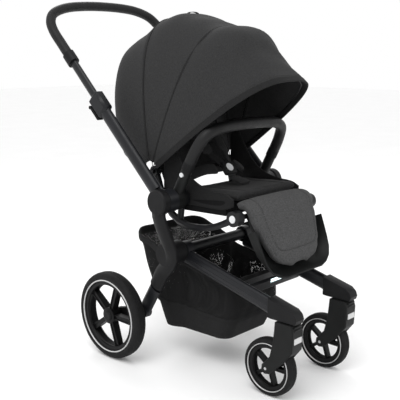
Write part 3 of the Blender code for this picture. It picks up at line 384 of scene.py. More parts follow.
@dataclass
class Finishes:
    """Every finish of the stroller, made once."""

    coat: bpy.types.Material = field(init=False)
    tube: bpy.types.Material = field(init=False)
    inner_tube: bpy.types.Material = field(init=False)
    moulded: bpy.types.Material = field(init=False)
    hard_shell: bpy.types.Material = field(init=False)
    wheel: bpy.types.Material = field(init=False)
    tyre: bpy.types.Material = field(init=False)
    leather: bpy.types.Material = field(init=False)
    canopy: bpy.types.Material = field(init=False)
    lining: bpy.types.Material = field(init=False)
    pad: bpy.types.Material = field(init=False)
    leg_pad: bpy.types.Material = field(init=False)
    wing: bpy.types.Material = field(init=False)
    strap: bpy.types.Material = field(init=False)
    binding: bpy.types.Material = field(init=False)
    thread: bpy.types.Material = field(init=False)
    bag: bpy.types.Material = field(init=False)
    net: bpy.types.Material = field(init=False)
    ring: bpy.types.Material = field(init=False)
    button: bpy.types.Material = field(init=False)
    steel: bpy.types.Material = field(init=False)
    bow: bpy.types.Material = field(init=False)
    lens: bpy.types.Material = field(init=False)

    def __post_init__(self) -> None:
        """Build the materials."""
        self.coat = PowderCoat("satin_black_coat", (0.0070, 0.0073, 0.0084)).make()
        self.tube = PowderCoat("push_tube_coat", (0.0105, 0.0110, 0.0128), 0.34).make()
        self.inner_tube = PowderCoat("inner_tube_coat", (0.0150, 0.0155, 0.0170), 0.28).make()
        self.moulded = Moulding("moulded_black", (0.0068, 0.0068, 0.0074)).make()
        self.hard_shell = Moulding("hard_shell", (0.0072, 0.0076, 0.0076), 0.46).make()
        self.wheel = Moulding("wheel_black", (0.0030, 0.0030, 0.0033), 0.42, 700.0).make()
        self.tyre = Rubber("tyre_rubber", (0.0085, 0.0085, 0.0088)).make()
        self.leather = Leatherette("grip_leatherette", (0.0065, 0.0065, 0.0069)).make()
        self.canopy = Woven("canopy_cloth", (0.0270, 0.0270, 0.0275), 1.35).make()
        self.lining = Woven("canopy_lining", (0.0060, 0.0060, 0.0063), 1.3, sheen=0.01).make()
        self.pad = Woven("seat_cloth", (0.0190, 0.0190, 0.0194), 1.6, 0.0014).make()
        self.leg_pad = Woven("leg_rest_cloth", (0.0560, 0.0560, 0.0565), 1.5, 0.0014).make()
        self.wing = Woven("side_cloth", (0.0130, 0.0130, 0.0133), 1.4).make()
        self.strap = Woven("webbing", (0.0120, 0.0120, 0.0123), 1.5, 0.0008).make()
        self.binding = Woven("binding_tape", (0.0150, 0.0150, 0.0153), 1.4, 0.0008).make()
        self.thread = Woven("sewing_thread", (0.0300, 0.0300, 0.0303), 1.3, 0.0005).make()
        self.bag = Woven("basket_cloth", (0.0150, 0.0150, 0.0153), 1.4).make()
        self.net = Netting("basket_net", (0.0100, 0.0100, 0.0103)).make()
        self.ring = Reflective("reflective_ring", (0.62, 0.62, 0.62)).make()
        self.button = Moulding("light_grey_button", (0.66, 0.67, 0.68), 0.32, 1500.0).make()
        self.steel = PlatedSteel("plated_steel").make()
        self.bow = PlatedSteel("blued_steel", (0.020, 0.020, 0.022)).make()
        self.lens = LightLens("light_lens", (0.75, 0.92, 0.93)).make()


# ------------------------------------------------------------------------------ mesh tools


def finish_piece(name: str, work: bmesh.types.BMesh, material: bpy.types.Material,
                 crease: float = 35.0, turn_out: bool = True) -> bpy.types.Object:
    """Turn a bmesh into a shaded object at the origin.

    Args:
        name: name of the piece.
        work: the bmesh, which is freed.
        material: its finish.
        crease: edges sharper than this many degrees stay hard.
        turn_out: merge doubles and point the faces outwards.

    Returns:
        The new object.
    """
    if turn_out:
        bmesh.ops.remove_doubles(work, verts=work.verts, dist=0.00002)
        bmesh.ops.recalc_face_normals(work, faces=work.faces)
    for face in work.faces:
        face.smooth = True
    limit = math.radians(crease)
    for edge in work.edges:
        edge.smooth = not (len(edge.link_faces) == 2 and edge.calc_face_angle(0.0) > limit)
    mesh = bpy.data.meshes.new(name)
    work.to_mesh(mesh)
    work.free()
    made = bpy.data.objects.new(name, mesh)
    bpy.context.scene.collection.objects.link(made)
    mesh.materials.append(material)
    return made


def smooth_line(points: Sequence[Sequence[float]], samples: int) -> list[Vector]:
    """Points on a smooth curve through the given points.

    Args:
        points: the points to pass through, in order.
        samples: points made for each stretch between two of them.

    Returns:
        The curve's points, ends included.
    """
    knots = [Vector(p) for p in points]
    knots = [knots[0] * 2 - knots[1], *knots, knots[-1] * 2 - knots[-2]]
    line = []
    for a, b, c, d in zip(knots, knots[1:], knots[2:], knots[3:]):
        for step in range(samples):
            t = step / samples
            line.append(0.5 * (2 * b + (c - a) * t + (2 * a - 5 * b + 4 * c - d) * t * t
                               + (3 * b - 3 * c + d - a) * t ** 3))
    line.append(knots[-2].copy())
    return line


def frames_along(line: Sequence[Vector], up: Vector) -> list[Matrix]:
    """A matrix at each point of a line, with +Z along it and +Y near a steady direction.

    Args:
        line: the points.
        up: the direction that +Y keeps near at the start; it is carried along from there.

    Returns:
        One matrix for each point.
    """
    made = []
    carried = up.normalized()
    for i, point in enumerate(line):
        ahead = (line[min(i + 1, len(line) - 1)] - line[max(i - 1, 0)]).normalized()
        carried = (carried - ahead * carried.dot(ahead)).normalized()
        across = carried.cross(ahead).normalized()
        turn = Matrix((across, carried, ahead)).transposed().to_4x4()
        made.append(Matrix.Translation(point) @ turn)
    return made


def sweep(work: bmesh.types.BMesh, line: Sequence[Vector], size: Callable[[float], Pair],
          segments: int = 20, up: Vector = Vector((0, 0, 1)), caps: bool = True) -> None:
    """Bridge oval rings along a line.

    Args:
        work: the bmesh to add to.
        line: the centre line.
        size: half sizes across and along +Y, for a share from 0 to 1 of the line.
        segments: points round each ring.
        up: the direction that the rings' +Y starts near.
        caps: close both ends.
    """
    rings = []
    for i, matrix in enumerate(frames_along(line, up)):
        across, high = size(i / (len(line) - 1))
        spread = matrix @ Matrix.Diagonal((across, high, 1, 1))
        ends = caps and i in (0, len(line) - 1)
        made = bmesh.ops.create_circle(work, segments=segments, radius=1.0, matrix=spread,
                                       cap_ends=ends)
        verts = set(made["verts"])
        rings.append([e for v in made["verts"] for e in v.link_edges
                      if e.verts[0] in verts and e.verts[1] in verts and v is e.verts[0]])
    for first, second in zip(rings, rings[1:]):
        bmesh.ops.bridge_loops(work, edges=list(set(first + second)))


def tube(name: str, line: Sequence[Vector], size: Callable[[float], Pair],
         material: bpy.types.Material, segments: int = 20,
         up: Vector = Vector((0, 0, 1))) -> bpy.types.Object:
    """A closed tube of changing size along a line, as an object."""
    work = bmesh.new()
    sweep(work, line, size, segments, up)
    return finish_piece(name, work, material, 50)


def spun(work: bmesh.types.BMesh, profile: Sequence[Pair], centre: Vector, steps: int,
         closed: bool = True) -> None:
    """Spin a profile of (x, radius) pairs round the X axis through a centre.

    Args:
        work: the bmesh to add to.
        profile: points as offsets along X and radii.
        centre: the wheel's centre.
        steps: steps of the full turn.
        closed: join the profile's last point to its first.
    """
    verts = [work.verts.new(centre + Vector((x, 0, radius))) for x, radius in profile]
    pairs = list(zip(verts, verts[1:])) + ([(verts[-1], verts[0])] if closed else [])
    edges = [work.edges.new(pair) for pair in pairs]
    bmesh.ops.spin(work, geom=verts + edges, cent=centre, axis=(1, 0, 0),
                   angle=2 * math.pi, steps=steps, use_merge=True)


def box_piece(work: bmesh.types.BMesh, size: Sequence[float], matrix: Matrix,
              bevel: float = 0.0, segments: int = 2) -> None:
    """Add a box with rounded edges.

    Args:
        work: the bmesh to add to.
        size: full sizes along the box's own axes.
        matrix: its place.
        bevel: edge radius.
        segments: steps of the rounding.
    """
    made = bmesh.ops.create_cube(work, size=1.0, matrix=matrix @ Matrix.Diagonal((*size, 1)))
    if bevel:
        edges = list({e for v in made["verts"] for e in v.link_edges})
        bmesh.ops.bevel(work, geom=edges, offset=bevel, offset_type="OFFSET",
                        affect="EDGES", segments=segments, profile=0.5, material=-1)


def tilted(x: float, spot: Pair, angle: float) -> Matrix:
    """A matrix at a point of a side view, turned about X."""
    return Matrix.Translation(place(x, *spot)) @ Matrix.Rotation(angle, 4, "X")


def lattice(name: str, columns: int, rows: int, shape: Callable[[float, float], Vector],
            material: bpy.types.Material) -> bpy.types.Object:
    """A smooth open sheet.

    Args:
        name: name of the piece.
        columns: cells across.
        rows: cells along.
        shape: gives the point for shares u and v from 0 to 1.
        material: its finish.

    Returns:
        The sheet, with a UV map of its shares.
    """
    work = bmesh.new()
    made = bmesh.ops.create_grid(work, x_segments=columns, y_segments=rows, size=0.5,
                                 calc_uvs=False)
    layer = work.loops.layers.uv.new("shares")
    shares = {}
    for vert in made["verts"]:
        shares[vert] = (vert.co.x + 0.5, vert.co.y + 0.5)
    for vert in made["verts"]:
        vert.co = shape(*shares[vert])
    for face in work.faces:
        for loop in face.loops:
            loop[layer].uv = shares[loop.vert]
    return finish_piece(name, work, material, 80, turn_out=False)


def with_modifier(piece: bpy.types.Object, kind: str, **settings) -> bpy.types.Object:
    """Add a modifier and apply it to the mesh.

    Args:
        piece: the object.
        kind: Blender's modifier type.
        settings: its values.

    Returns:
        The same object with its new mesh.
    """
    modifier = piece.modifiers.new(kind.lower(), kind)
    for key, value in settings.items():
        setattr(modifier, key, value)
    graph = bpy.context.evaluated_depsgraph_get()
    mesh = bpy.data.meshes.new_from_object(piece.evaluated_get(graph))
    piece.modifiers.clear()
    old = piece.data
    piece.data = mesh
    bpy.data.meshes.remove(old)
    return piece


def shade(piece: bpy.types.Object, smooth: bool = True) -> bpy.types.Object:
    """Shade a whole piece smooth or flat."""
    piece.data.polygons.foreach_set("use_smooth", [smooth] * len(piece.data.polygons))
    piece.data.update()
    return piece


def mesh_area(piece: bpy.types.Object) -> float:
    """Area of a piece's faces in square metres."""
    return sum(face.area for face in piece.data.polygons)


def crease_shading() -> bpy.types.NodeTree:
    """Nodes that weld a frame part and shade it smooth between its hard edges.

    Returns:
        The node group for a Geometry Nodes modifier.
    """
    group = bpy.data.node_groups.new("crease_shading", "GeometryNodeTree")
    group.interface.new_socket("Geometry", in_out="INPUT", socket_type="NodeSocketGeometry")
    group.interface.new_socket("Geometry", in_out="OUTPUT", socket_type="NodeSocketGeometry")
    kinds = ["NodeGroupInput", "GeometryNodeMergeByDistance", "GeometryNodeSetShadeSmooth",
             "GeometryNodeInputMeshEdgeAngle", "FunctionNodeCompare",
             "GeometryNodeSetShadeSmooth", "NodeGroupOutput"]
    start, weld, faces, angle, compare, edges, end = [group.nodes.new(k) for k in kinds]
    weld.inputs["Distance"].default_value = 0.00002
    compare.data_type = "FLOAT"
    compare.operation = "GREATER_THAN"
    compare.inputs[1].default_value = math.radians(38)
    edges.domain = "EDGE"
    edges.inputs["Shade Smooth"].default_value = False
    group.links.new(start.outputs[0], weld.inputs["Geometry"])
    group.links.new(weld.outputs[0], faces.inputs["Geometry"])
    group.links.new(angle.outputs["Unsigned Angle"], compare.inputs[0])
    group.links.new(faces.outputs[0], edges.inputs["Geometry"])
    group.links.new(compare.outputs[0], edges.inputs["Selection"])
    group.links.new(edges.outputs[0], end.inputs[0])
    return group


# ------------------------------------------------------------------------------ soft goods


@dataclass(frozen=True)
class Padding:
    """How a pad is filled: its thickness, its mesh size and how far it may swell."""

    thickness: float
    voxel: float = 0.005
    swell: float = 0.008
    pressure: float = 4.0
    fill: float = 0.6


def stuffed(piece: bpy.types.Object, padding: Padding) -> bpy.types.Object:
    """Give a sheet a filling and let it swell.

    Args:
        piece: the pad's middle sheet.
        padding: its filling.

    Returns:
        The same object as a closed pad.
    """
    with_modifier(piece, "SOLIDIFY", thickness=padding.thickness, offset=0.0,
                  use_even_offset=False)
    with_modifier(piece, "REMESH", mode="VOXEL", voxel_size=padding.voxel,
                  use_smooth_shade=True)
    swell(piece, padding)
    work = bmesh.new()
    work.from_mesh(piece.data)
    for _ in range(3):
        bmesh.ops.smooth_vert(work, verts=work.verts, factor=0.5, use_axis_x=True,
                              use_axis_y=True, use_axis_z=True)
    work.to_mesh(piece.data)
    work.free()
    with_modifier(piece, "SUBSURF", levels=1, render_levels=1)
    return shade(piece)


def swell(piece: bpy.types.Object, padding: Padding) -> None:
    """Blow a closed pad up as cloth under pressure, and cap how far each point goes.

    Args:
        piece: the pad.
        padding: its filling.
    """
    rest = [v.co.copy() for v in piece.data.vertices]
    cloth = piece.modifiers.new("swell", "CLOTH")
    cloth.settings.use_pressure = True
    cloth.settings.uniform_pressure_force = padding.pressure
    cloth.settings.quality = 5
    cloth.settings.mass = 0.3
    cloth.settings.tension_stiffness = 12
    cloth.settings.compression_stiffness = 12
    cloth.settings.bending_stiffness = 0.4
    cloth.settings.effector_weights.gravity = 0.0
    cloth.collision_settings.use_self_collision = False
    cloth.point_cache.frame_start = 1
    cloth.point_cache.frame_end = 20
    scene = bpy.context.scene
    for number in range(1, 21):
        scene.frame_set(number)
    graph = bpy.context.evaluated_depsgraph_get()
    shaped = piece.evaluated_get(graph).to_mesh()
    moved = [v.co.copy() for v in shaped.vertices]
    piece.evaluated_get(graph).to_mesh_clear()
    piece.modifiers.clear()
    scene.frame_set(1)
    for vert, start, end in zip(piece.data.vertices, rest, moved):
        step = end - start
        if step.length > padding.swell:
            step *= padding.swell / step.length
        vert.co = start + step
    piece.data.update()


def sew(piece: bpy.types.Object, lines: Sequence[Sequence[Vector]], depth: float,
        width: float) -> None:
    """Press seams into a pad.

    Args:
        piece: the pad.
        lines: the seams as rows of points near the surface.
        depth: how deep the seam pulls in.
        width: how wide the pull is.
    """
    stretches = [(a, b) for line in lines for a, b in zip(line, line[1:])]
    work = bmesh.new()
    work.from_mesh(piece.data)
    work.normal_update()
    moves = []
    for vert in work.verts:
        nearest = 1.0
        for a, b in stretches:
            along = b - a
            share = max(0.0, min(1.0, (vert.co - a).dot(along) / along.length_squared))
            nearest = min(nearest, (vert.co - a - along * share).length)
        if nearest < width * 2.5:
            moves.append((vert, vert.normal * depth * math.exp(-((nearest / width) ** 2))))
    for vert, move in moves:
        vert.co -= move
    work.to_mesh(piece.data)
    work.free()


def stitches(name: str, piece: bpy.types.Object, lines: Sequence[Sequence[Vector]],
             material: bpy.types.Material, pitch: float = 0.0055) -> bpy.types.Object:
    """A row of thread stitches laid on a piece.

    Args:
        name: name of the new piece.
        piece: what the stitches lie on.
        lines: rows of points near its surface.
        material: the thread's finish.
        pitch: length of one stitch with its gap.

    Returns:
        The stitches as one object.
    """
    work = bmesh.new()
    source = bmesh.new()
    source.from_mesh(piece.data)
    tree = BVHTree.FromBMesh(source)
    for line in lines:
        walked = 0.0
        for a, b in zip(line, line[1:]):
            span = (b - a).length
            while walked < span:
                spot = a.lerp(b, walked / span)
                found, normal, _, _ = tree.find_nearest(spot)
                walked += pitch
                if found is None:
                    continue
                ahead = (b - a).normalized()
                ahead = (ahead - normal * ahead.dot(normal)).normalized()
                across = normal.cross(ahead)
                turn = Matrix((ahead, across, normal)).transposed().to_4x4()
                matrix = Matrix.Translation(found + normal * 0.0002) @ turn
                box_piece(work, (pitch * 0.66, 0.0010, 0.0010), matrix, 0.0003, 1)
            walked -= span
    source.free()
    return finish_piece(name, work, material, 60)


def add_ring(work: bmesh.types.BMesh, corners: Iterable[Vector]) -> list[bmesh.types.BMEdge]:
    """Add a closed ring of edges through some corners."""
    ring = [work.verts.new(corner) for corner in corners]
    return [work.edges.new(pair) for pair in zip(ring, ring[1:] + ring[:1])]


def skin(work: bmesh.types.BMesh, rings: list[list[bmesh.types.BMEdge]]) -> None:
    """Bridge each ring to the next, and the last to the first."""
    for first, second in zip(rings, rings[1:] + rings[:1]):
        bmesh.ops.bridge_loops(work, edges=first + second)


def band(name: str, line: Sequence[Vector], normal_at: Callable[[int], Vector], width: float,
         thickness: float, material: bpy.types.Material) -> bpy.types.Object:
    """A flat strap along a line.

    Args:
        name: name of the piece.
        line: its centre line.
        normal_at: the strap's outward direction at a point's number.
        width: width of the strap.
        thickness: its thickness.
        material: its finish.

    Returns:
        The strap as a closed piece with rounded edges.
    """
    work = bmesh.new()
    rings = []
    for i, point in enumerate(line):
        ahead = (line[min(i + 1, len(line) - 1)] - line[max(i - 1, 0)]).normalized()
        out = normal_at(i)
        out = (out - ahead * out.dot(ahead)).normalized()
        across = out.cross(ahead).normalized()
        half, thick = width / 2, thickness / 2
        corners = [(-1, -0.35), (-0.94, -1), (0.94, -1), (1, -0.35), (1, 0.35), (0.94, 1),
                   (-0.94, 1), (-1, 0.35)]
        ring = [work.verts.new(point + across * half * a + out * thick * b) for a, b in corners]
        rings.append([work.edges.new((p, q)) for p, q in zip(ring, ring[1:] + ring[:1])])
        if i in (0, len(line) - 1):
            work.faces.new(ring)
    for first, second in zip(rings, rings[1:]):
        bmesh.ops.bridge_loops(work, edges=first + second)
    return finish_piece(name, work, material, 50)


# ------------------------------------------------------------------------------ wheels


@dataclass
class Wheel:
    """One wheel: tread, sidewalls, reflective ring and a five-spoke rim."""

    label: str
    side: Side
    finishes: Finishes
    rear: bool
    centre: Vector
    radius: float
    tyre_width: float
    ring_radius: float
    spokes: int = 5
    first_spoke: float = math.radians(-90)

    @property
    def prefix(self) -> str:
        """Front or rear, as in the node names."""
        return "rear" if self.rear else "front"

    def tyre(self) -> bpy.types.Object:
        """Spin the tyre's section and cut its tread."""
        half, r = self.tyre_width / 2, self.radius
        groove, land = 0.0011, 0.0007
        section = [(-half * 0.70, r * 0.802), (-half * 0.88, r * 0.835), (-half, r * 0.888),
                   (-half * 0.985, r * 0.915), (-half * 0.93, r * 0.945),
                   (-half * 0.78, r * 0.973), (-half * 0.60, r * 0.989),
                   (-half * 0.40, r * 0.9965)]
        crown = []
        for middle in (-0.26, 0.0, 0.26):
            wide = 0.035
            crown += [(half * (middle - wide), r - land * 0.2), (half * (middle - wide * 0.6),
                      r - groove), (half * (middle + wide * 0.6), r - groove),
                      (half * (middle + wide), r - land * 0.2)]
        section += crown + [(-x, radius) for x, radius in reversed(section)]
        work = bmesh.new()
        spun(work, section, self.centre, 96)
        made = finish_piece(f"{self.prefix}_tyre_{self.label}_tread", work,
                            self.finishes.tyre, 40)
        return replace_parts(made, f"{self.prefix}_tyre_{self.label}")

    def ring(self) -> bpy.types.Object:
        """The reflective ring let into each sidewall."""
        work = bmesh.new()
        half = self.tyre_width / 2
        middle = self.ring_radius
        thick = self.radius * 0.016
        for face in (-1, 1):
            x = face * half * 0.905
            section = [(x, middle - thick), (x + face * 0.0016, middle - thick * 0.7),
                       (x + face * 0.0026, middle), (x + face * 0.0016, middle + thick * 0.7),
                       (x, middle + thick), (x - face * 0.003, middle)]
            spun(work, section, self.centre, 96)
        made = finish_piece(f"{self.prefix}_reflective_ring_{self.label}", work,
                            self.finishes.ring, 60)
        return made

    def rim(self) -> bpy.types.Object:
        """The rim's barrel, its grooved spokes and its hub."""
        work = bmesh.new()
        outer = self.radius * 0.800
        half = self.tyre_width * 0.36
        barrel = [(-half, outer - 0.0105), (-half * 1.05, outer - 0.003), (-half, outer),
                  (half, outer), (half * 1.05, outer - 0.003), (half, outer - 0.0105),
                  (half * 0.75, outer - 0.0125), (0, outer - 0.0075),
                  (-half * 0.75, outer - 0.0125)]
        spun(work, barrel, self.centre, 80)
        hub = self.radius * 0.185
        drum = [(-half * 1.05, 0.0065), (-half * 1.05, hub * 0.86), (-half * 0.93, hub),
                (half * 0.93, hub), (half * 1.05, hub * 0.86), (half * 1.05, 0.0065)]
        spun(work, drum, self.centre, 40)
        for number in range(self.spokes):
            self.spoke(work, self.first_spoke + math.tau * number / self.spokes, hub, outer)
        made = finish_piece(f"{self.prefix}_rim_{self.label}_spokes", work,
                            self.finishes.wheel, 32)
        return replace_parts(made, f"{self.prefix}_rim_{self.label}")

    def spoke(self, work: bmesh.types.BMesh, angle: float, hub: float, outer: float) -> None:
        """Add one spoke with a groove down each face.

        Args:
            work: the rim's bmesh.
            angle: turn about the axle, from straight up towards the back.
            hub: radius where it leaves the hub.
            outer: radius of the rim's barrel.
        """
        depth = self.tyre_width * 0.27
        near, far = hub * 0.82, outer - 0.009
        matrix = Matrix.Translation(self.centre) @ Matrix.Rotation(-angle, 4, "X")
        lift = Matrix.Translation((0, 0, (near + far) / 2))
        made = bmesh.ops.create_cube(work, size=1.0, matrix=matrix @ lift @ Matrix.Diagonal(
            (depth * 2, self.radius * 0.112, far - near, 1)))
        verts = made["verts"]
        inverse = (matrix @ lift).inverted()
        for vert in verts:
            own = inverse @ vert.co
            own.y *= 1.22 if own.z > 0 else 0.92
            own.x *= 0.78 if own.z > 0 else 1.0
            vert.co = matrix @ lift @ own
        faces = {f for v in verts for f in v.link_faces}
        axis = (matrix @ lift).to_3x3() @ Vector((1, 0, 0))
        work.normal_update()
        sides = [f for f in faces if abs(f.normal.dot(axis)) > 0.8]
        bmesh.ops.inset_individual(work, faces=sides, thickness=self.radius * 0.030, depth=0.0)
        bmesh.ops.inset_individual(work, faces=sides, thickness=self.radius * 0.006,
                                   depth=-self.radius * 0.020)

    def cap(self) -> bpy.types.Object:
        """The domed cap over the outer end of the hub."""
        out = self.side.value
        start = self.tyre_width * 0.36
        radius = self.radius * (0.125 if self.rear else 0.105)
        work = bmesh.new()
        dome = [(out * start, radius), (out * (start + 0.0030), radius * 0.98),
                (out * (start + 0.0050), radius * 0.86), (out * (start + 0.0056), radius * 0.6),
                (out * (start + 0.0050), radius * 0.35), (out * (start + 0.0050), 0.0)]
        spun(work, dome, self.centre, 40, closed=False)
        bmesh.ops.holes_fill(work, edges=work.edges)
        made = finish_piece(f"{self.prefix}_hub_cap_{self.label}", work,
                            self.finishes.moulded, 45)
        return made

    def build(self) -> list[bpy.types.Object]:
        """Make the wheel's pieces and hang them on its body."""
        pieces = [self.tyre(), self.ring(), self.rim()]
        if self.rear:
            pieces.append(self.cap())
        for piece in pieces:
            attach(piece, f"{self.prefix}_wheel_{self.label}")
        return pieces


# ------------------------------------------------------------------------------ frame trim


@dataclass
class FrontTrim:
    """Ridges on the lower tubes, and ribs and reflectors on the forks."""

    finishes: Finishes
    tube_start: Pair = (-0.541, 0.2520)
    tube_slope: float = 0.255
    tube_end: float = -0.235
    fork_x: float = 0.1304
    fork_top: float = 0.2252

    def tube_ridges(self, side: Side) -> bpy.types.Object:
        """Two lengthwise ridges on a lower tube's outer face and one on its top edge.

        Args:
            side: which tube.

        Returns:
            The ridges as one piece.
        """
        low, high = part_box(f"lower_tube_{side.label}")
        outer = high.x if side is Side.LEFT else low.x
        run = self.tube_end - self.tube_start[0]
        angle = math.atan(self.tube_slope)
        length = run / math.cos(angle)
        middle_y = self.tube_start[0] + run / 2
        middle_z = self.tube_start[1] + self.tube_slope * run / 2
        work = bmesh.new()
        for lift, size, inset in ((0.0125, 0.0030, 0.0032), (0.0015, 0.0022, 0.0004),
                                  (-0.0105, 0.0022, 0.0020)):
            spot = (middle_y - lift * math.sin(angle), middle_z + lift * math.cos(angle))
            x = outer - side.value * inset
            box_piece(work, (0.0030, length, size), tilted(x, spot, angle), 0.0009, 2)
        made = finish_piece(f"lower_tube_ridges_{side.label}", work, self.finishes.tube, 60)
        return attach(made, "front_frame")

    def fork_trim(self, side: Side) -> list[bpy.types.Object]:
        """The ribs on the nose of a fork and the reflector below them.

        Args:
            side: which fork.

        Returns:
            The ribs and the reflector.
        """
        low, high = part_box(f"fork_{side.label}")
        x = side.value * self.fork_x
        nose = low.y - FOOTPRINT_MIDDLE
        width = (high.x - low.x) * 0.66
        ribs = bmesh.new()
        face_top = self.fork_top
        for number in range(4):
            spot = (nose + 0.0022 + 0.0006 * number, face_top - 0.006 - 0.0095 * number)
            box_piece(ribs, (width, 0.0060, 0.0052), tilted(x, spot, 0), 0.0018, 3)
        rib_piece = finish_piece(f"fork_ribs_{side.label}", ribs, self.finishes.hard_shell, 60)
        plate = bmesh.new()
        spot = (nose + 0.0012, face_top - 0.0450)
        box_piece(plate, (width * 1.02, 0.0050, 0.0160), tilted(x, spot, 0), 0.0012, 3)
        shown = finish_piece(f"fork_reflector_{side.label}", plate, self.finishes.ring, 60)
        return [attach(piece, f"caster_{side.label}") for piece in (rib_piece, shown)]

    def build(self) -> None:
        """Make the trim on both sides."""
        for side in Side:
            self.tube_ridges(side)
            self.fork_trim(side)


@dataclass
class Handle:
    """The padded bow grip of the push bar."""

    finishes: Finishes
    hub: Pair = (-0.213, 0.517)
    tilt: float = math.radians(44.56)
    half_width: float = 0.238
    start: float = 0.550
    radius: float = 0.0152

    def along(self, distance: float, lift: float = 0.0) -> Pair:
        """The (y, z) point at a distance up the push tube from the hub, lifted square to it."""
        cos, sin = math.cos(self.tilt), math.sin(self.tilt)
        return (self.hub[0] + distance * cos - lift * sin,
                self.hub[1] + distance * sin + lift * cos)

    def line(self) -> list[Vector]:
        """The grip's centre line from right to left."""
        x, start = self.half_width, self.start
        bend = ((0.0, 0.0250, 0.0), (0.0, 0.0470, 0.0), (0.0, 0.0700, 0.0),
                (0.001, 0.1250, 0.0), (0.010, 0.1650, 0.004), (0.036, 0.1950, 0.011),
                (0.090, 0.2130, 0.018), (0.160, 0.2210, 0.021))
        half = [(x - inset, *self.along(start + run, lift)) for inset, run, lift in bend]
        knots = [place(-a, b, c) for a, b, c in half]
        knots += [place(0, *self.along(start + 0.2230, 0.022))]
        knots += [place(a, b, c) for a, b, c in reversed(half)]
        return smooth_line(knots, 7)

    def grip(self) -> bpy.types.Object:
        """The leatherette cover with a slightly fuller middle."""
        def size(share: float) -> Pair:
            edge = min(share, 1 - share)
            full = self.radius - 0.0012 * math.exp(-((edge / 0.01) ** 2))
            return full, full

        made = tube("handle_grip_cover", self.line(), size, self.finishes.leather, 24,
                    Vector((0, -1, 1)))
        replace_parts(made, "handle_grip")
        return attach(made, "handle")

    def seam(self, cover: bpy.types.Object) -> list[bpy.types.Object]:
        """The closed seam on the under side of the grip, with its stitching.

        Args:
            cover: the grip's cover.

        Returns:
            The seam cord and its stitches.
        """
        line = self.line()
        frames = frames_along(line, Vector((0, -1, 1)))
        low = [m @ Vector((0, -self.radius, 0)) for m in frames][3:-3]
        pressed = bmesh.new()
        sweep(pressed, low, lambda share: (0.0011, 0.0008), 8, Vector((0, 1, -1)))
        cord = finish_piece("handle_grip_seam", pressed, self.finishes.leather, 60)
        rows = []
        for turn in (-0.22, 0.22):
            rows.append([m @ Vector((math.sin(turn) * self.radius, -math.cos(turn)
                                     * self.radius, 0)) for m in frames][3:-3])
        thread = stitches("handle_grip_stitches", cover, rows, self.finishes.thread)
        return [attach(piece, "handle") for piece in (cord, thread)]

    def build(self) -> None:
        """Make the grip and its seam."""
        self.seam(self.grip())


@dataclass
class BumperBar:
    """The leatherette bumper bar with its ribbed end sleeves."""

    finishes: Finishes
    hub: Pair = (-0.213, 0.517)
    tilt: float = math.radians(62)
    half_width: float = 0.189
    reach: float = 0.223
    start: float = 0.1003
    radius: float = 0.0166

    def along(self, distance: float) -> Pair:
        """The (y, z) point at a distance up an arm from the hub."""
        return (self.hub[0] - distance * math.cos(self.tilt),
                self.hub[1] + distance * math.sin(self.tilt))

    def line(self) -> list[Vector]:
        """The bar's centre line from right to left."""
        x, start, reach = self.half_width, self.start, self.reach
        half = [(x, *self.along(start)), (x, *self.along(start + 0.018)),
                (x, *self.along(start + 0.035)), (x - 0.003, *self.along(reach - 0.055)),
                (x - 0.018, *self.along(reach - 0.014)),
                (x - 0.055, *self.along(reach + 0.006)),
                (x - 0.110, *self.along(reach + 0.013))]
        knots = [place(-a, b, c) for a, b, c in half] + [place(0, *self.along(reach + 0.015))]
        knots += [place(a, b, c) for a, b, c in reversed(half)]
        return smooth_line(knots, 7)

    def build(self) -> None:
        """Make the cover, its sleeves and its seam."""
        line = self.line()

        def size(share: float) -> Pair:
            edge = min(share, 1 - share)
            full = self.radius - 0.0010 * math.exp(-((edge / 0.012) ** 2))
            return full, full

        cover = tube("bumper_bar_cover", line, size, self.finishes.leather, 24,
                     Vector((0, -1, 0)))
        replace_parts(cover, "bumper_bar")
        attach(cover, "bumper_bar")
        frames = frames_along(line, Vector((0, -1, 0)))
        row = [m @ Vector((0, -self.radius, 0)) for m in frames][4:-4]
        thread = stitches("bumper_bar_stitches", cover, [row], self.finishes.thread)
        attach(thread, "bumper_bar")
        for side in Side:
            self.sleeve(side)

    def sleeve(self, side: Side) -> bpy.types.Object:
        """The ribbed sleeve at one end of the bar.

        Args:
            side: which end.

        Returns:
            The sleeve.
        """
        x = side.value * self.half_width
        count = 7
        work = bmesh.new()
        for number in range(count):
            distance = self.start + 0.0030 + 0.0036 * number
            matrix = tilted(x, self.along(distance), math.pi / 2 - self.tilt)
            ring = self.radius + 0.0006
            bmesh.ops.create_cone(work, cap_ends=True, segments=28, radius1=ring,
                                  radius2=ring, depth=0.0024, matrix=matrix)
        made = finish_piece(f"bumper_sleeve_{side.label}", work, self.finishes.moulded, 30)
        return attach(made, "bumper_bar")


# ------------------------------------------------------------------------------ canopy


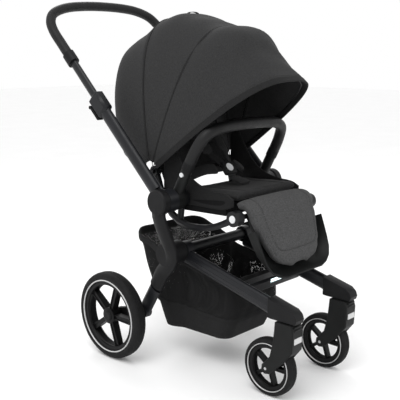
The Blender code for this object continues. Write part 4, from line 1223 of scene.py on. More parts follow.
@dataclass
class Canopy:
    """The round hood: a front sheet, a rear sheet, bindings, seams and a pull tab."""

    finishes: Finishes
    pivot: Pair = (-0.105, 0.584)
    half_width: float = 0.1840
    rounding: float = 0.69
    front_tilt: float = 35.5
    middle_tilt: float = 69.6
    rear_tilt: float = 98.6
    end_tilt: float = 165.0
    lowest_turn: float = 1.2
    fold: float = 55.0
    middle_fold: float = 25.0
    heights: tuple[Pair, ...] = (
        (35.5, 0.459), (45, 0.443), (52, 0.446), (60, 0.463), (65, 0.457), (69.6, 0.442),
        (76, 0.441), (84, 0.449), (91, 0.455), (98.6, 0.446), (106, 0.426), (114, 0.421),
        (122, 0.414), (131, 0.374), (141, 0.318), (152, 0.262), (165, 0.210))

    def slope(self, index: int, forward: bool) -> float:
        """Slope of the height at a knot, taken from one side at a seam.

        Args:
            index: which knot.
            forward: look towards the next knot at a seam.

        Returns:
            Metres per degree.
        """
        knots = self.heights
        seam = knots[index][0] in (self.middle_tilt, self.rear_tilt)
        before = index if seam and forward else max(index - 1, 0)
        after = index if seam and not forward else min(index + 1, len(knots) - 1)
        return (knots[after][1] - knots[before][1]) / (knots[after][0] - knots[before][0])

    def height(self, tilt: float) -> float:
        """Height of the cloth over the pivot at a tilt in degrees, smooth between the seams."""
        knots = self.heights
        index = max(i for i, (low, _) in enumerate(knots[:-1]) if low <= tilt or i == 0)
        (low, first), (high, second) = knots[index], knots[index + 1]
        run = high - low
        t = min(1.0, max(0.0, (tilt - low) / run))
        leave, arrive = self.slope(index, True) * run, self.slope(index + 1, False) * run
        return ((2 * t ** 3 - 3 * t ** 2 + 1) * first + (t ** 3 - 2 * t ** 2 + t) * leave
                + (3 * t ** 2 - 2 * t ** 3) * second + (t ** 3 - t ** 2) * arrive)

    def point(self, tilt: float, turn: float, lift: float = 0.0,
              narrower: float = 0.0) -> Vector:
        """One point of the hood.

        Args:
            tilt: angle up from the front in degrees.
            turn: 0 at the right pivot to 180 at the left one, in degrees.
            lift: height added.
            narrower: half width taken off.

        Returns:
            The point in the frame.
        """
        angle, lean = math.radians(turn), math.radians(tilt)
        flat = abs(math.cos(angle)) ** self.rounding
        across = -(self.half_width - narrower) * math.copysign(flat, math.cos(angle))
        rise = (self.height(tilt) + lift) * abs(math.sin(angle)) ** self.rounding
        return place(across, self.pivot[0] - rise * math.cos(lean),
                     self.pivot[1] + rise * math.sin(lean))

    def spread_turn(self, share: float) -> float:
        """Turn in degrees for an even share of the arch from right to left."""
        low = self.lowest_turn
        return low + (180 - 2 * low) * share

    def follow(self, tilt: float) -> float:
        """How much of the front bow's fold the cloth at a tilt makes, from 1 to 0."""
        middle = self.middle_fold / self.fold
        if tilt < self.middle_tilt:
            share = (tilt - self.front_tilt) / (self.middle_tilt - self.front_tilt)
            return 1 + (middle - 1) * max(0.0, share)
        share = (tilt - self.middle_tilt) / (self.rear_tilt - self.middle_tilt)
        return middle * (1 - min(1.0, share))

    def tilt_of(self, spot: Vector) -> float:
        """Tilt in degrees of a point about the pivots."""
        y = spot.y - FOOTPRINT_MIDDLE - self.pivot[0]
        z = spot.z - self.pivot[1]
        return math.degrees(math.atan2(z, -y)) % 360

    def bend(self, piece: bpy.types.Object, bodies: Pair,
             weight: Callable[[float], float]) -> None:
        """Bake a sheet's place into its mesh and work out each point's share of the second body
        by its tilt; nothing uses the shares.

        Args:
            piece: the sheet.
            bodies: not used.
            weight: share of the second body for a tilt in degrees.
        """
        start, end = place(0, *self.pivot), place(0, self.pivot[0], self.pivot[1] + 0.4)
        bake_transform(piece)
        shares = [weight(self.tilt_of(v.co)) for v in piece.data.vertices]

    def sheet(self, name: str, tilts: Pair, rows: int, lift: float,
              material: bpy.types.Material, thickness: float) -> bpy.types.Object:
        """A curved sheet between two tilts.

        Args:
            name: name of the piece.
            tilts: where it starts and ends.
            rows: cells between them.
            lift: distance outside the hood's own surface.
            material: its finish.
            thickness: the cloth's thickness.

        Returns:
            The sheet.
        """
        def shape(u: float, v: float) -> Vector:
            tilt = tilts[0] + (tilts[1] - tilts[0]) * v
            turn = self.spread_turn(u)
            slack = 0.0
            if tilt < self.rear_tilt:
                between = (tilt - self.front_tilt) / (self.rear_tilt - self.front_tilt)
                slack = 0.0012 * math.sin(between * 37.0 + 5.0 * math.sin(turn / 17.0))
            return self.point(tilt, turn, lift + slack, -lift)

        made = lattice(name, 72, rows, shape, material)
        with_modifier(made, "SOLIDIFY", thickness=thickness, offset=0.0,
                      use_even_offset=False)
        return made

    def binding(self, name: str, tilt: float, width: float, thick: float, lift: float,
                body: str) -> bpy.types.Object:
        """A folded tape or piping over a bow.

        Args:
            name: name of the piece.
            tilt: the bow's tilt.
            width: width of the tape.
            thick: its thickness.
            lift: how far it stands out.
            body: the body it rides on.

        Returns:
            The tape.
        """
        turns = [self.spread_turn(i / 70) for i in range(71)]
        line = [self.point(tilt, turn, lift, -lift) for turn in turns]
        ahead = [self.point(tilt + 0.6, turn, lift, -lift) for turn in turns]
        outs = []
        for i, spot in enumerate(line):
            along = (line[min(i + 1, 70)] - line[max(i - 1, 0)]).normalized()
            out = along.cross(ahead[i] - spot).normalized()
            middle = place(0, *self.pivot) + Vector((0, -0.05, 0.1))
            outs.append(out if out.dot(spot - middle) > 0 else -out)
        made = band(name, line, lambda i: outs[i], width, thick, self.finishes.binding)
        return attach(made, body)

    def seam_rows(self, tilt: float, gap: float, lift: float) -> list[list[Vector]]:
        """Rows of points either side of a seam."""
        rows = []
        for shift in (-gap, gap):
            rows.append([self.point(tilt + shift, self.spread_turn(i / 90), lift)
                         for i in range(3, 88)])
        return rows

    def build(self) -> None:
        """Make the sheets, the tapes, the stitching and the pull tab."""
        flat_front = self.outer_sheet()
        flat_rear = self.rear_sheet()
        LOG.info("canopy sheets flat: front %s, rear %s", flat_front, flat_rear)
        self.binding("canopy_brim_binding", self.front_tilt + 1.1, 0.0180, 0.0042, 0.0008,
                     "canopy_front")
        self.binding("canopy_middle_piping", self.middle_tilt, 0.0050, 0.0030, 0.0004,
                     "canopy_middle")
        self.binding("canopy_rear_piping", self.rear_tilt, 0.0060, 0.0040, 0.0006, "rear_frame")
        self.pull_tab()

    def declare(self, tilts: Pair) -> Pair:
        """Say what size a sheet was cut to.

        Args:
            tilts: where it starts and ends.

        Returns:
            The width and length of the cut.
        """
        middle = sum(tilts) / 2
        turns = [self.spread_turn(i / 60) for i in range(61)]
        arch = [self.point(middle, turn) for turn in turns]
        wide = sum((b - a).length for a, b in zip(arch, arch[1:]))
        crest = [self.point(tilts[0] + (tilts[1] - tilts[0]) * i / 40, 90.0) for i in range(41)]
        long = sum((b - a).length for a, b in zip(crest, crest[1:]))
        width, length = round(wide * 1.04, 2), round(long * 1.04, 2)
        return width, length

    def outer_sheet(self) -> Pair:
        """The front sheet, from the brim over the middle bow to the rear bow."""
        tilts = (self.front_tilt, self.rear_tilt)
        made = self.sheet("canopy_front_sheet", tilts, 44, 0.0002, self.finishes.canopy, 0.0016)
        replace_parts(made, "canopy_front_panel", "canopy_middle_panel")
        rows = self.seam_rows(self.middle_tilt, 0.75, 0.001)
        rows += self.seam_rows(self.front_tilt + 2.7, 0.35, 0.001)
        thread = stitches("canopy_front_stitches", made, rows, self.finishes.thread)
        for piece in (made, thread):
            self.bend(piece, ("canopy_front", "rear_frame"), lambda t: 1 - self.follow(t))
        return self.declare(tilts)

    def rear_sheet(self) -> Pair:
        """The rear sheet, from the rear bow down to the backrest."""
        tilts = (self.rear_tilt, self.end_tilt)
        made = self.sheet("canopy_rear_sheet", tilts, 40, 0.0002, self.finishes.canopy, 0.0016)
        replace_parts(made, "canopy_rear_panel")
        rows = self.seam_rows(self.rear_tilt + 1.4, 0.4, 0.001)
        thread = stitches("canopy_rear_stitches", made, rows, self.finishes.thread)

        def weight(tilt: float) -> float:
            share = max(0.0, min(1.0, (tilt - 112) / (158 - 112)))
            return share * share * (3 - 2 * share)

        for piece in (made, thread):
            self.bend(piece, ("rear_frame", "backrest"), weight)
        return self.declare(tilts)

    def pull_tab(self) -> bpy.types.Object:
        """The small loop of webbing on top, by the rear bow."""
        spot = self.point(self.rear_tilt - 8.5, 90.0, 0.001)
        arc = []
        for i in range(13):
            angle = math.pi * i / 12
            arc.append(spot + Vector((-0.021 * math.cos(angle), 0.0, 0.0055 * math.sin(angle)
                                      - 0.001)))
        made = band("canopy_pull_loop", arc, lambda i: (arc[i] - spot + Vector((0, 0, 0.004))),
                    0.010, 0.0018, self.finishes.strap)
        self.bend(made, ("canopy_front", "rear_frame"), lambda t: 1 - self.follow(t))
        return made


# ------------------------------------------------------------------------------ seat


@dataclass
class LegRest:
    """The padded leg rest: a roll over the knee and a tapering pad with a sewn inner panel."""

    finishes: Finishes
    pivot: Pair = (-0.420, 0.488)
    roll: float = 0.0465
    down: Pair = (-0.382, -0.9242)
    length: float = 0.166
    padding: Padding = Padding(0.020, 0.0045, 0.0065, 4.0, 0.7)
    widths: tuple[Pair, ...] = (
        (-0.085, 0.150), (-0.045, 0.153), (0.000, 0.152), (0.050, 0.143), (0.100, 0.129),
        (0.135, 0.112), (0.152, 0.094), (0.162, 0.068), (0.166, 0.040))

    def half_width(self, distance: float) -> float:
        """Half width of the pad at a distance down from the pivot's height."""
        for (low, first), (high, second) in zip(self.widths, self.widths[1:]):
            if distance <= high:
                share = max(0.0, (distance - low) / (high - low))
                return first + (second - first) * share
        return self.widths[-1][1]

    def surface(self, across: float, distance: float, forward: float) -> Vector:
        """A point of the pad.

        Args:
            across: distance from the middle.
            distance: distance down the pad; negative over the knee.
            forward: distance out from the pivot's line.

        Returns:
            The point in the frame.
        """
        down = Vector((0, *self.down))
        front = Vector((0, self.down[1], -self.down[0]))
        base = place(across, *self.pivot)
        if distance >= 0:
            return base + down * distance + front * forward
        turn = -distance / self.roll
        return base + (front * math.cos(turn) - down * math.sin(turn)) * forward

    def shape(self, u: float, v: float) -> Vector:
        """The pad's middle sheet."""
        distance = -0.085 + (self.length + 0.085) * v
        half = self.half_width(distance) - 0.006
        share = 2 * u - 1
        edge = abs(share) ** 4
        middle = self.roll - 0.0115 - 0.0045 * edge
        if distance > 0:
            middle -= 0.001 + 0.004 * (distance / self.length) ** 3
        return self.surface(half * share, distance, middle)

    def panel_line(self) -> list[Vector]:
        """The seam round the inner panel."""
        corners = [(-0.112, -0.060), (-0.112, 0.020), (-0.100, 0.085), (-0.086, 0.112),
                   (-0.055, 0.121), (0.055, 0.121), (0.086, 0.112), (0.100, 0.085),
                   (0.112, 0.020), (0.112, -0.060)]
        smooth = smooth_line([(x, d, 0) for x, d in corners], 6)
        return [self.surface(p.x, p.y, self.roll + 0.001) for p in smooth]

    def border_line(self) -> list[Vector]:
        """The piping seam near the pad's outer edge."""
        rows = []
        for sign in (-1, 1):
            row = []
            for i in range(30):
                distance = -0.070 + 0.222 * i / 29
                row.append((sign * (self.half_width(distance) - 0.016), distance))
            rows.append(row if sign < 0 else row[::-1])
        return [self.surface(x, d, self.roll) for x, d in rows[0] + rows[1]]

    def build(self) -> None:
        """Make the pad, its seams and its stitching."""
        pad = lattice("leg_rest_pad", 40, 34, self.shape, self.finishes.leg_pad)
        stuffed(pad, self.padding)
        panel, border = self.panel_line(), self.border_line()
        sew(pad, [panel], 0.0024, 0.0032)
        sew(pad, [border], 0.0012, 0.0030)
        inner = [self.inwards(p) for p in panel]
        thread = stitches("leg_rest_stitches", pad, [inner], self.finishes.thread)
        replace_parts(pad, "calf_pad")
        for piece in (pad, thread):
            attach(piece, "calf_rest")

    def inwards(self, spot: Vector) -> Vector:
        """A point moved a few millimetres towards the pad's middle line."""
        moved = spot.copy()
        moved.x -= math.copysign(0.005, spot.x) if abs(spot.x) > 0.006 else 0.0
        return moved


@dataclass
class SeatPads:
    """The seat cushion, the backrest pad and the cloth sides of the seat."""

    finishes: Finishes
    recline: Pair = (-0.140, 0.545)
    back_tilt: float = math.radians(65)
    cushion: Padding = Padding(0.016, 0.0050, 0.0050, 4.0, 0.6)
    back: Padding = Padding(0.016, 0.0055, 0.0070, 4.0, 0.6)
    side_tops: tuple[Pair, ...] = (
        (-0.398, 0.5320), (-0.370, 0.5440), (-0.320, 0.5480), (-0.270, 0.5600),
        (-0.225, 0.5880), (-0.185, 0.6400), (-0.150, 0.7000), (-0.128, 0.7150))

    def along_back(self, distance: float, forward: float) -> Pair:
        """The (y, z) point up the backrest from its pivot, and forward of it."""
        cos, sin = math.cos(self.back_tilt), math.sin(self.back_tilt)
        return (self.recline[0] + distance * cos - forward * sin,
                self.recline[1] + distance * sin + forward * cos)

    def seat_shape(self, u: float, v: float) -> Vector:
        """Middle sheet of the seat cushion, front to back."""
        across = 2 * u - 1
        y = -0.402 + 0.220 * v
        half = 0.143 - 0.008 * max(0.0, 0.15 - v) / 0.15 * abs(across)
        z = 0.5400 - 0.0130 * v - 0.0025 * math.cos(across * math.pi / 2)
        return place(half * across, y, z)

    def back_shape(self, u: float, v: float) -> Vector:
        """Middle sheet of the backrest pad, bottom to top."""
        across = 2 * u - 1
        distance = 0.030 + 0.326 * v
        corner = max(0.0, v - 0.86) / 0.14
        half = 0.133 - 0.030 * corner ** 2
        forward = 0.0135 + 0.006 * across * across
        return place(half * across, *self.along_back(distance, forward))

    def cushion_pad(self) -> None:
        """The seat cushion with two sewn channels."""
        pad = lattice("seat_cushion_pad", 38, 28, self.seat_shape, self.finishes.pad)
        stuffed(pad, self.cushion)
        rows = []
        for x in (-0.088, 0.088):
            rows.append([place(x, -0.385 + 0.19 * i / 20, 0.5520 - 0.012 * i / 20)
                         for i in range(21)])
        sew(pad, rows, 0.0022, 0.0032)
        thread = stitches("seat_cushion_stitches", pad, rows, self.finishes.thread)
        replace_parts(pad, "seat_cushion")
        for piece in (pad, thread):
            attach(piece, "rear_frame")

    def back_pad(self) -> None:
        """The backrest pad with cross channels."""
        pad = lattice("backrest_cushion", 36, 42, self.back_shape, self.finishes.pad)
        stuffed(pad, self.back)
        rows = []
        for distance in (0.105, 0.190, 0.275):
            rows.append([place(-0.120 + 0.24 * i / 24, *self.along_back(distance, 0.0290))
                         for i in range(25)])
        for x in (-0.092, 0.092):
            rows.append([place(x, *self.along_back(0.040 + 0.30 * i / 24, 0.0290))
                         for i in range(25)])
        sew(pad, rows, 0.0026, 0.0034)
        thread = stitches("backrest_stitches", pad, rows, self.finishes.thread, 0.0065)
        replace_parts(pad, "backrest_pad")
        for piece in (pad, thread):
            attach(piece, "backrest")

    def side(self, side: Side) -> None:
        """The cloth side of the seat and the piping along its top edge.

        Args:
            side: which side.
        """
        sign = side.value
        crest = smooth_line([(0, y, z) for y, z in self.side_tops], 5)

        def shape(u: float, v: float) -> Vector:
            spot = u * (len(crest) - 1)
            index = min(int(spot), len(crest) - 2)
            top = crest[index].lerp(crest[index + 1], spot - index)
            low = 0.4980 + 0.016 * max(0.0, 0.20 - u) / 0.20 + 0.012 * max(0.0, u - 0.7) / 0.3
            z = low + (top.z - low) * v
            bulge = 0.0030 * math.sin(math.pi * v) * math.sin(math.pi * min(1, u * 1.2))
            return place(sign * (0.1500 - bulge), top.y, z)

        panel = lattice(f"seat_side_{side.label}", 30, 10, shape, self.finishes.wing)
        with_modifier(panel, "SOLIDIFY", thickness=0.0022, offset=0.0)
        line = smooth_line([shape(i / 16, 1.0) for i in range(17)], 3)
        piping = tube(f"seat_side_piping_{side.label}", line,
                      lambda share: (0.0020, 0.0020), self.finishes.binding, 10)
        for piece in (panel, piping):
            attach(piece, "rear_frame")

    def build(self) -> None:
        """Make the pads and the sides."""
        self.cushion_pad()
        self.back_pad()
        for side in Side:
            self.side(side)


@dataclass
class Harness:
    """Shoulder, waist and crotch straps with their pads, meeting in the buckle."""

    finishes: Finishes
    seat: SeatPads
    webbing: float = 0.024
    thick: float = 0.0016

    def shoulder(self, side: Side) -> None:
        """One shoulder strap and its pad.

        Args:
            side: which shoulder.
        """
        sign = side.value
        back = self.seat.along_back
        knots = [place(sign * 0.055, *back(0.300, 0.0285)),
                 place(sign * 0.054, *back(0.285, 0.0360)),
                 place(sign * 0.052, *back(0.230, 0.0480)),
                 place(sign * 0.046, *back(0.160, 0.0560)),
                 place(sign * 0.036, -0.190, 0.6450),
                 place(sign * 0.024, -0.222, 0.6160),
                 place(sign * 0.016, -0.2440, 0.6010)]
        line = smooth_line(knots, 6)
        out = Vector((sign * 0.12, -0.86, 0.42)).normalized()
        strap = band(f"shoulder_strap_{side.label}", line, lambda i: out, self.webbing,
                     self.thick, self.finishes.strap)
        pad_line = line[5:27]
        pad = self.sleeve(f"shoulder_pad_{side.label}", pad_line, out, 0.044, 0.0105)
        for piece in (strap, pad):
            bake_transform(piece)

    def sleeve(self, name: str, line: Sequence[Vector], out: Vector, width: float,
               thick: float) -> bpy.types.Object:
        """A soft sleeve round a strap, rounded at its ends.

        Args:
            name: name of the piece.
            line: the strap's line inside it.
            out: outward direction.
            width: full width.
            thick: full thickness.

        Returns:
            The sleeve.
        """
        def size(share: float) -> Pair:
            edge = min(share, 1 - share)
            full = math.sqrt(max(0.0, 1 - (1 - min(1.0, edge / 0.14)) ** 2))
            return (width / 2) * (0.55 + 0.45 * full), (thick / 2) * (0.25 + 0.75 * full)

        made = tube(name, line, size, self.finishes.pad, 20, out)
        return made

    def waist(self, side: Side) -> None:
        """One waist strap and its pad.

        Args:
            side: which side.
        """
        sign = side.value
        knots = [place(sign * 0.132, -0.186, 0.5560), place(sign * 0.110, -0.198, 0.5740),
                 place(sign * 0.078, -0.222, 0.5890), place(sign * 0.048, -0.241, 0.5905),
                 place(sign * 0.024, -0.2470, 0.5890)]
        line = smooth_line(knots, 7)
        out = Vector((sign * 0.25, -0.45, 0.85)).normalized()
        strap = band(f"waist_strap_{side.label}", line, lambda i: out, self.webbing,
                     self.thick, self.finishes.strap)
        pad = self.sleeve(f"waist_pad_{side.label}", line[6:23], out, 0.040, 0.0100)
        for piece in (strap, pad):
            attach(piece, "rear_frame")

    def crotch(self) -> None:
        """The crotch strap's pad and the webbing that comes out of the seat."""
        knots = [place(0, -0.3180, 0.5500), place(0, -0.3080, 0.5560),
                 place(0, -0.2900, 0.5590), place(0, -0.2740, 0.5620),
                 place(0, -0.2620, 0.5690)]
        line = smooth_line(knots, 6)
        out = Vector((0, -0.25, 1))
        strap = band("crotch_strap", line, lambda i: out, 0.026, self.thick,
                     self.finishes.strap)
        pad = self.sleeve("crotch_pad", line[1:22], out, 0.050, 0.0090)
        for piece in (strap, pad):
            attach(piece, "rear_frame")

    def build(self) -> None:
        """Make the straps on both sides and the crotch strap."""
        for side in Side:
            self.shoulder(side)
            self.waist(side)
        self.crotch()


# ------------------------------------------------------------------------------ basket


@dataclass
class Basket:
    """The shopping basket: a cloth base, net walls and a bound rim."""

    finishes: Finishes
    levels: tuple[tuple[float, ...], ...] = (
        (0.0960, -0.088, -0.330, 0.126, 0.102), (0.1200, -0.072, -0.350, 0.133, 0.106),
        (0.2100, -0.040, -0.362, 0.139, 0.109), (0.3000, -0.008, -0.366, 0.142, 0.111))
    rear_rim: Pair = (0.022, 0.388)
    front_rim: Pair = (-0.366, 0.285)
    corner: float = 0.034
    neck: float = -0.166
    shoulder: float = -0.132
    middle_y: float = -0.17
    rim_halves: Pair = (0.143, 0.111)
    wall_share: float = 0.80
    rim_share: float = 0.20
    rim_section: tuple[Pair, ...] = (
        (-0.0022, -0.0125), (0.0026, -0.0125), (0.0036, -0.008), (0.0036, 0.009),
        (0.0020, 0.0135), (-0.0020, 0.0135), (-0.0034, 0.008), (-0.0032, -0.009))
    seam_section: tuple[Pair, ...] = (
        (-0.001, -0.005), (0.0016, -0.005), (0.0022, 0.0), (0.0016, 0.005), (-0.001, 0.005))

    def rim_height(self, y: float) -> float:
        """Height of the rim over a point of the floor."""
        slope = (self.rear_rim[1] - self.front_rim[1]) / (self.rear_rim[0] - self.front_rim[0])
        share = (y - self.front_rim[0]) / (self.rear_rim[0] - self.front_rim[0])
        return self.front_rim[1] + slope * (y - self.front_rim[0]) - 0.012 * math.sin(
            math.pi * max(0.0, min(1.0, share)))

    def half_at(self, y: float, rear_half: float, front_half: float, front: float) -> float:
        """Half width of the bag at a depth: full behind the knees, drawn in beside the tubes."""
        neck_half = (rear_half + 2 * front_half) / 3 - 0.002
        stops = ((front, front_half), (self.neck, neck_half), (self.shoulder, rear_half - 0.002),
                 (self.rear_rim[0], rear_half))
        for (low, first), (high, second) in zip(stops, stops[1:]):
            if y <= high:
                share = max(0.0, (y - low) / (high - low))
                return first + (second - first) * share
        return rear_half

    def outline(self, rear: float, front: float, rear_half: float, front_half: float,
                share: float) -> Pair:
        """A point on a rounded rectangle.

        Args:
            rear: its rear Y.
            front: its front Y.
            rear_half: half width at the rear.
            front_half: half width at the front.
            share: 0 to 1 once round, from the middle of the rear.

        Returns:
            The (x, y) of the point.
        """
        half = (rear_half + front_half) / 2
        length = rear - front
        corner = self.corner
        runs = [half - corner, corner * math.pi / 2, length - 2 * corner,
                corner * math.pi / 2, half - corner]
        mirrored = share > 0.5
        walked = (1 - share if mirrored else share) * 2 * sum(runs)
        x, y = 0.0, rear
        if walked <= runs[0]:
            x, y = walked, rear
        elif walked <= sum(runs[:2]):
            turn = (walked - runs[0]) / corner
            x, y = half - corner + corner * math.sin(turn), rear - corner * (1 - math.cos(turn))
        elif walked <= sum(runs[:3]):
            x, y = half, rear - corner - (walked - sum(runs[:2]))
        elif walked <= sum(runs[:4]):
            turn = (walked - sum(runs[:3])) / corner
            x = half - corner + corner * math.cos(turn)
            y = front + corner - corner * math.sin(turn)
        else:
            x, y = sum(runs) - walked, front
        x *= self.half_at(y, rear_half, front_half, front) / half
        return (x if mirrored else -x), y

    def wall(self, around: float, rise: float) -> Vector:
        """A point on the wall.

        Args:
            around: 0 to 1 once round.
            rise: 0 at the floor, 1 at the rim.

        Returns:
            The point in the frame.
        """
        last = len(self.levels) - 1
        spot = min(rise / self.wall_share, 1.0) * last
        index = min(int(spot), last - 1)
        share = spot - index
        low, high = self.levels[index], self.levels[index + 1]
        sizes = [a + (b - a) * share for a, b in zip(low[1:], high[1:])]
        if rise > self.wall_share:
            top = (self.rear_rim[0], self.front_rim[0], *self.rim_halves)
            blend = (rise - self.wall_share) / self.rim_share
            sizes = [a + (b - a) * blend for a, b in zip(sizes, top)]
        x, y = self.outline(*sizes, around)
        rim = self.rim_height(y)
        bottom = self.levels[0][0]
        high_z = bottom + (rim - bottom) * rise
        ripple = 0.0022 * math.sin(around * 2 * math.pi * 17 + 2.2 * math.sin(rise * 7)) * rise
        belly = 0.0050 * math.sin(math.pi * min(1.0, rise * 1.15))
        scale = 1 + (ripple + belly) / max(0.05, math.hypot(x, y - self.middle_y))
        return place(x * scale, (y - self.middle_y) * scale + self.middle_y, high_z)

    def shell(self, name: str, low: float, high: float, rows: int,
              material: bpy.types.Material, thickness: float, floor: bool) -> tuple:
        """A closed loop of wall between two heights.

        Args:
            name: name of the piece.
            low: its lower share of the height.
            high: its upper share.
            rows: cells between them.
            material: its finish.
            thickness: the cloth's thickness.
            floor: close the bottom.

        Returns:
            The piece and the area of its cloth.
        """
        work = bmesh.new()
        columns = 112
        made = bmesh.ops.create_grid(work, x_segments=columns, y_segments=rows, size=0.5)
        for vert in made["verts"]:
            u, v = vert.co.x + 0.5, vert.co.y + 0.5
            vert.co = self.wall(u, low + (high - low) * v)
        bmesh.ops.remove_doubles(work, verts=work.verts, dist=0.0002)
        if floor:
            self.close_floor(work)
        bmesh.ops.recalc_face_normals(work, faces=work.faces)
        piece = finish_piece(name, work, material, 80)
        area = mesh_area(piece)
        with_modifier(piece, "SOLIDIFY", thickness=thickness, offset=-1.0,
                      use_even_offset=False)
        return piece, area

    def close_floor(self, work: bmesh.types.BMesh) -> None:
        """Close the lowest loop with a floor that sags a little."""
        lowest = min(v.co.z for v in work.verts)
        ring = [e for e in work.edges if e.is_boundary
                and all(abs(v.co.z - lowest) < 0.002 for v in e.verts)]
        centre = place(0, -0.204, self.levels[0][0])
        for scale, drop in ((0.94, -0.0012), (0.6, -0.0008), (0.4, 0.0)):
            grown = bmesh.ops.extrude_edge_only(work, edges=ring)["geom"]
            verts = [g for g in grown if isinstance(g, bmesh.types.BMVert)]
            ring = [g for g in grown if isinstance(g, bmesh.types.BMEdge)]
            for vert in verts:
                vert.co = centre + (vert.co - centre) * scale
                vert.co.z = centre.z + drop
            inner = set(verts)
            ring = [e for e in ring if e.verts[0] in inner and e.verts[1] in inner]
        bmesh.ops.edgeloop_fill(work, edges=ring)

    def follow_frames(self, pieces: Iterable[bpy.types.Object]) -> None:
        """Bake each piece's place into its mesh."""
        for piece in pieces:
            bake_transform(piece)

    def rim_band(self) -> bpy.types.Object:
        """The thick bound rim."""
        count = 120
        line = [self.wall(i / count, 0.955) for i in range(count)]
        centre = place(0, -0.17, 0.33)
        work = bmesh.new()
        rings = []
        for i, spot in enumerate(line):
            ahead = (line[(i + 1) % count] - line[i - 1]).normalized()
            out = Vector((spot.x - centre.x, spot.y - centre.y, 0))
            out = (out - ahead * out.dot(ahead)).normalized()
            rise = ahead.cross(out).normalized()
            rise = rise if rise.z > 0 else -rise
            rings.append(add_ring(work, [spot + out * a + rise * b
                                         for a, b in self.rim_section]))
        skin(work, rings)
        made = finish_piece("basket_rim_binding", work, self.finishes.binding, 60)
        return made

    def seam_band(self) -> bpy.types.Object:
        """The folded seam where the net is sewn to the base."""
        count = 112
        line = [self.wall(i / count, 0.325) for i in range(count)]
        work = bmesh.new()
        rings = []
        for i, spot in enumerate(line):
            ahead = (line[(i + 1) % count] - line[i - 1]).normalized()
            out = Vector((ahead.y, -ahead.x, 0)).normalized()
            if out.dot(spot - place(0, self.middle_y, spot.z)) < 0:
                out = -out
            rise = Vector((0, 0, 1))
            rings.append(add_ring(work, [spot + out * a + rise * b
                                         for a, b in self.seam_section]))
        skin(work, rings)
        return finish_piece("basket_seam_tape", work, self.finishes.binding, 60)

    def build(self) -> None:
        """Make the base, the net, the rim and the seam tape."""
        base, base_area = self.shell("basket_base", 0.0, 0.33, 12, self.finishes.bag, 0.0018,
                                     True)
        net, net_area = self.shell("basket_net", 0.325, 0.955, 22, self.finishes.net, 0.0010,
                                   False)
        rim, seam = self.rim_band(), self.seam_band()
        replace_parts(base, "basket")
        LOG.info("basket cloth %.3f and net %.3f square metres", base_area, net_area)
        self.follow_frames((base, net, rim, seam))


# ------------------------------------------------------------------------------ frame finish


@dataclass
class FrameFinish:
    """Gives each frame part that stays in view its finish and its edge shading."""

    finishes: Finishes

    def kinds(self) -> dict[str, bpy.types.Material]:
        """Finish for each start of a node name; the longest match counts."""
        f = self.finishes
        return {
            "rear_leg": f.moulded, "leg_tube": f.tube, "axle_arm": f.hard_shell,
            "rear_cross_bar": f.coat, "brake_pedal": f.moulded, "seat_hub": f.hard_shell,
            "seat_rail": f.coat, "seat_base": f.lining, "lower_tube": f.tube,
            "front_cross_bar": f.coat, "light_lens": f.lens, "caster_cap": f.moulded,
            "fork": f.hard_shell, "front_axle": f.steel, "push_tube": f.tube,
            "adjust_lever": f.moulded, "inner_tube": f.inner_tube, "grip_collar": f.moulded,
            "handle_button": f.button, "calf_shell": f.hard_shell, "calf_button": f.button,
            "bumper_button": f.button, "buckle_button": f.button, "harness_buckle": f.moulded,
            "backrest_shell": f.wing, "canopy_front_bow": f.bow,
            "canopy_middle_bow": f.bow, "canopy_rear_bow": f.bow,
        }

    def build(self) -> None:
        """Dress every node that is still shown."""
        group = crease_shading()
        kinds = self.kinds()
        for name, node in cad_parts.items():
            if node.hide_render:
                continue
            found = max((k for k in kinds if name.startswith(k)), key=len, default=None)
            if found is None:
                LOG.warning("no finish for %s", name)
                continue
            node.data.materials.clear()
            node.data.materials.append(kinds[found])
            modifier = node.modifiers.new("crease_shading", "NODES")
            modifier.node_group = group


# ------------------------------------------------------------------------------ studio


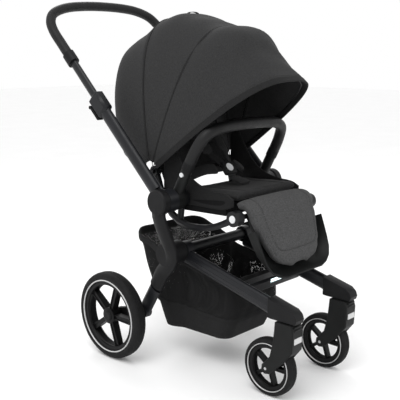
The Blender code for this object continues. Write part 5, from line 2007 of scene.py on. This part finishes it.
@dataclass
class Studio:
    """Pale floor, soft light and the camera."""

    camera_at: Point = (-1.6723, -1.55585, 0.938)
    azimuth: float = -46.95
    pitch: float = 11.43
    lens: float = 67.5

    def floor(self) -> None:
        """A pale floor much wider than the view."""
        sheet = Sheet("pale_floor")
        sheet.feed("Base Color", sheet.colours(sheet.noise(3.0, 2.0), (0.955, 0.955, 0.955),
                                               (0.975, 0.975, 0.975)))
        sheet.set(Roughness=0.8, Specular_IOR_Level=0.1)
        work = bmesh.new()
        bmesh.ops.create_grid(work, x_segments=2, y_segments=2, size=14.0)
        made = finish_piece("floor", work, sheet.material, turn_out=False)

    def light(self, name: str, spot: Point, size: float, power: float) -> None:
        """A soft square lamp that looks at the seat.

        Args:
            name: name of the lamp.
            spot: where it stands.
            size: side of its square.
            power: in watts.
        """
        lamp = bpy.data.lights.new(name, "AREA")
        lamp.size = size
        lamp.energy = power
        made = bpy.data.objects.new(name, lamp)
        bpy.context.scene.collection.objects.link(made)
        made.location = spot
        aim = Vector((0, 0, 0.5)) - Vector(spot)
        made.rotation_euler = aim.to_track_quat("-Z", "Y").to_euler()

    def world(self) -> None:
        """An even pale surrounding."""
        world = bpy.data.worlds.new("surrounding")
        world.use_nodes = True
        back = world.node_tree.nodes["Background"]
        back.inputs["Color"].default_value = (1, 1, 1, 1)
        back.inputs["Strength"].default_value = 1.0
        bpy.context.scene.world = world

    def camera(self) -> None:
        """The camera at its viewing angle."""
        data = bpy.data.cameras.new("camera")
        data.lens = self.lens
        data.sensor_width = 36.0
        made = bpy.data.objects.new("camera", data)
        bpy.context.scene.collection.objects.link(made)
        turn, rise = math.radians(self.azimuth), math.radians(self.pitch)
        back = Vector((math.sin(turn) * math.cos(rise), -math.cos(turn) * math.cos(rise),
                       math.sin(rise)))
        made.location = self.camera_at
        made.rotation_euler = (-back).to_track_quat("-Z", "Y").to_euler()
        bpy.context.scene.camera = made

    def build(self) -> None:
        """Set the stage."""
        self.floor()
        self.world()
        self.light("key", (-1.6, -0.6, 3.0), 2.0, 42.0)
        self.light("back", (1.2, 2.2, 2.4), 1.6, 20.0)
        self.camera()
        bpy.context.scene.view_settings.view_transform = "Standard"


@dataclass(frozen=True)
class WheelPair:
    """Where a pair of wheels stands and how large its tyres and rings are."""

    rear: bool
    half_track: float
    axle: Pair
    radius: float
    tyre_width: float
    ring_radius: float


REAR_WHEELS = WheelPair(True, 0.2536, (0.0, 0.135), 0.135, 0.0455, 0.1115)
FRONT_WHEELS = WheelPair(False, 0.1304, (-0.519, 0.0825), 0.0825, 0.033, 0.0680)


def wheels(finishes: Finishes) -> list[Wheel]:
    """The four wheels at their axles."""
    made = []
    for side in Side:
        for pair in (REAR_WHEELS, FRONT_WHEELS):
            centre = place(side.value * pair.half_track, *pair.axle)
            made.append(Wheel(side.label, side, finishes, pair.rear, centre, pair.radius,
                              pair.tyre_width, pair.ring_radius))
    return made


def write_sizes() -> None:
    """Bring the view layer up to date."""
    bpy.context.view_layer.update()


def main() -> None:
    """Build every piece in order and report it."""
    logging.basicConfig(level=logging.INFO, format="%(name)s: %(message)s")
    finishes = Finishes()
    seat = SeatPads(finishes)
    assemblies = [*wheels(finishes), FrontTrim(finishes), Handle(finishes),
                  BumperBar(finishes), Canopy(finishes), LegRest(finishes), seat,
                  Harness(finishes, seat), Basket(finishes), FrameFinish(finishes), Studio()]
    for assembly in assemblies:
        assembly.build()
        LOG.info("built %s", type(assembly).__name__)
    write_sizes()


if __name__ == "__main__":
    main()
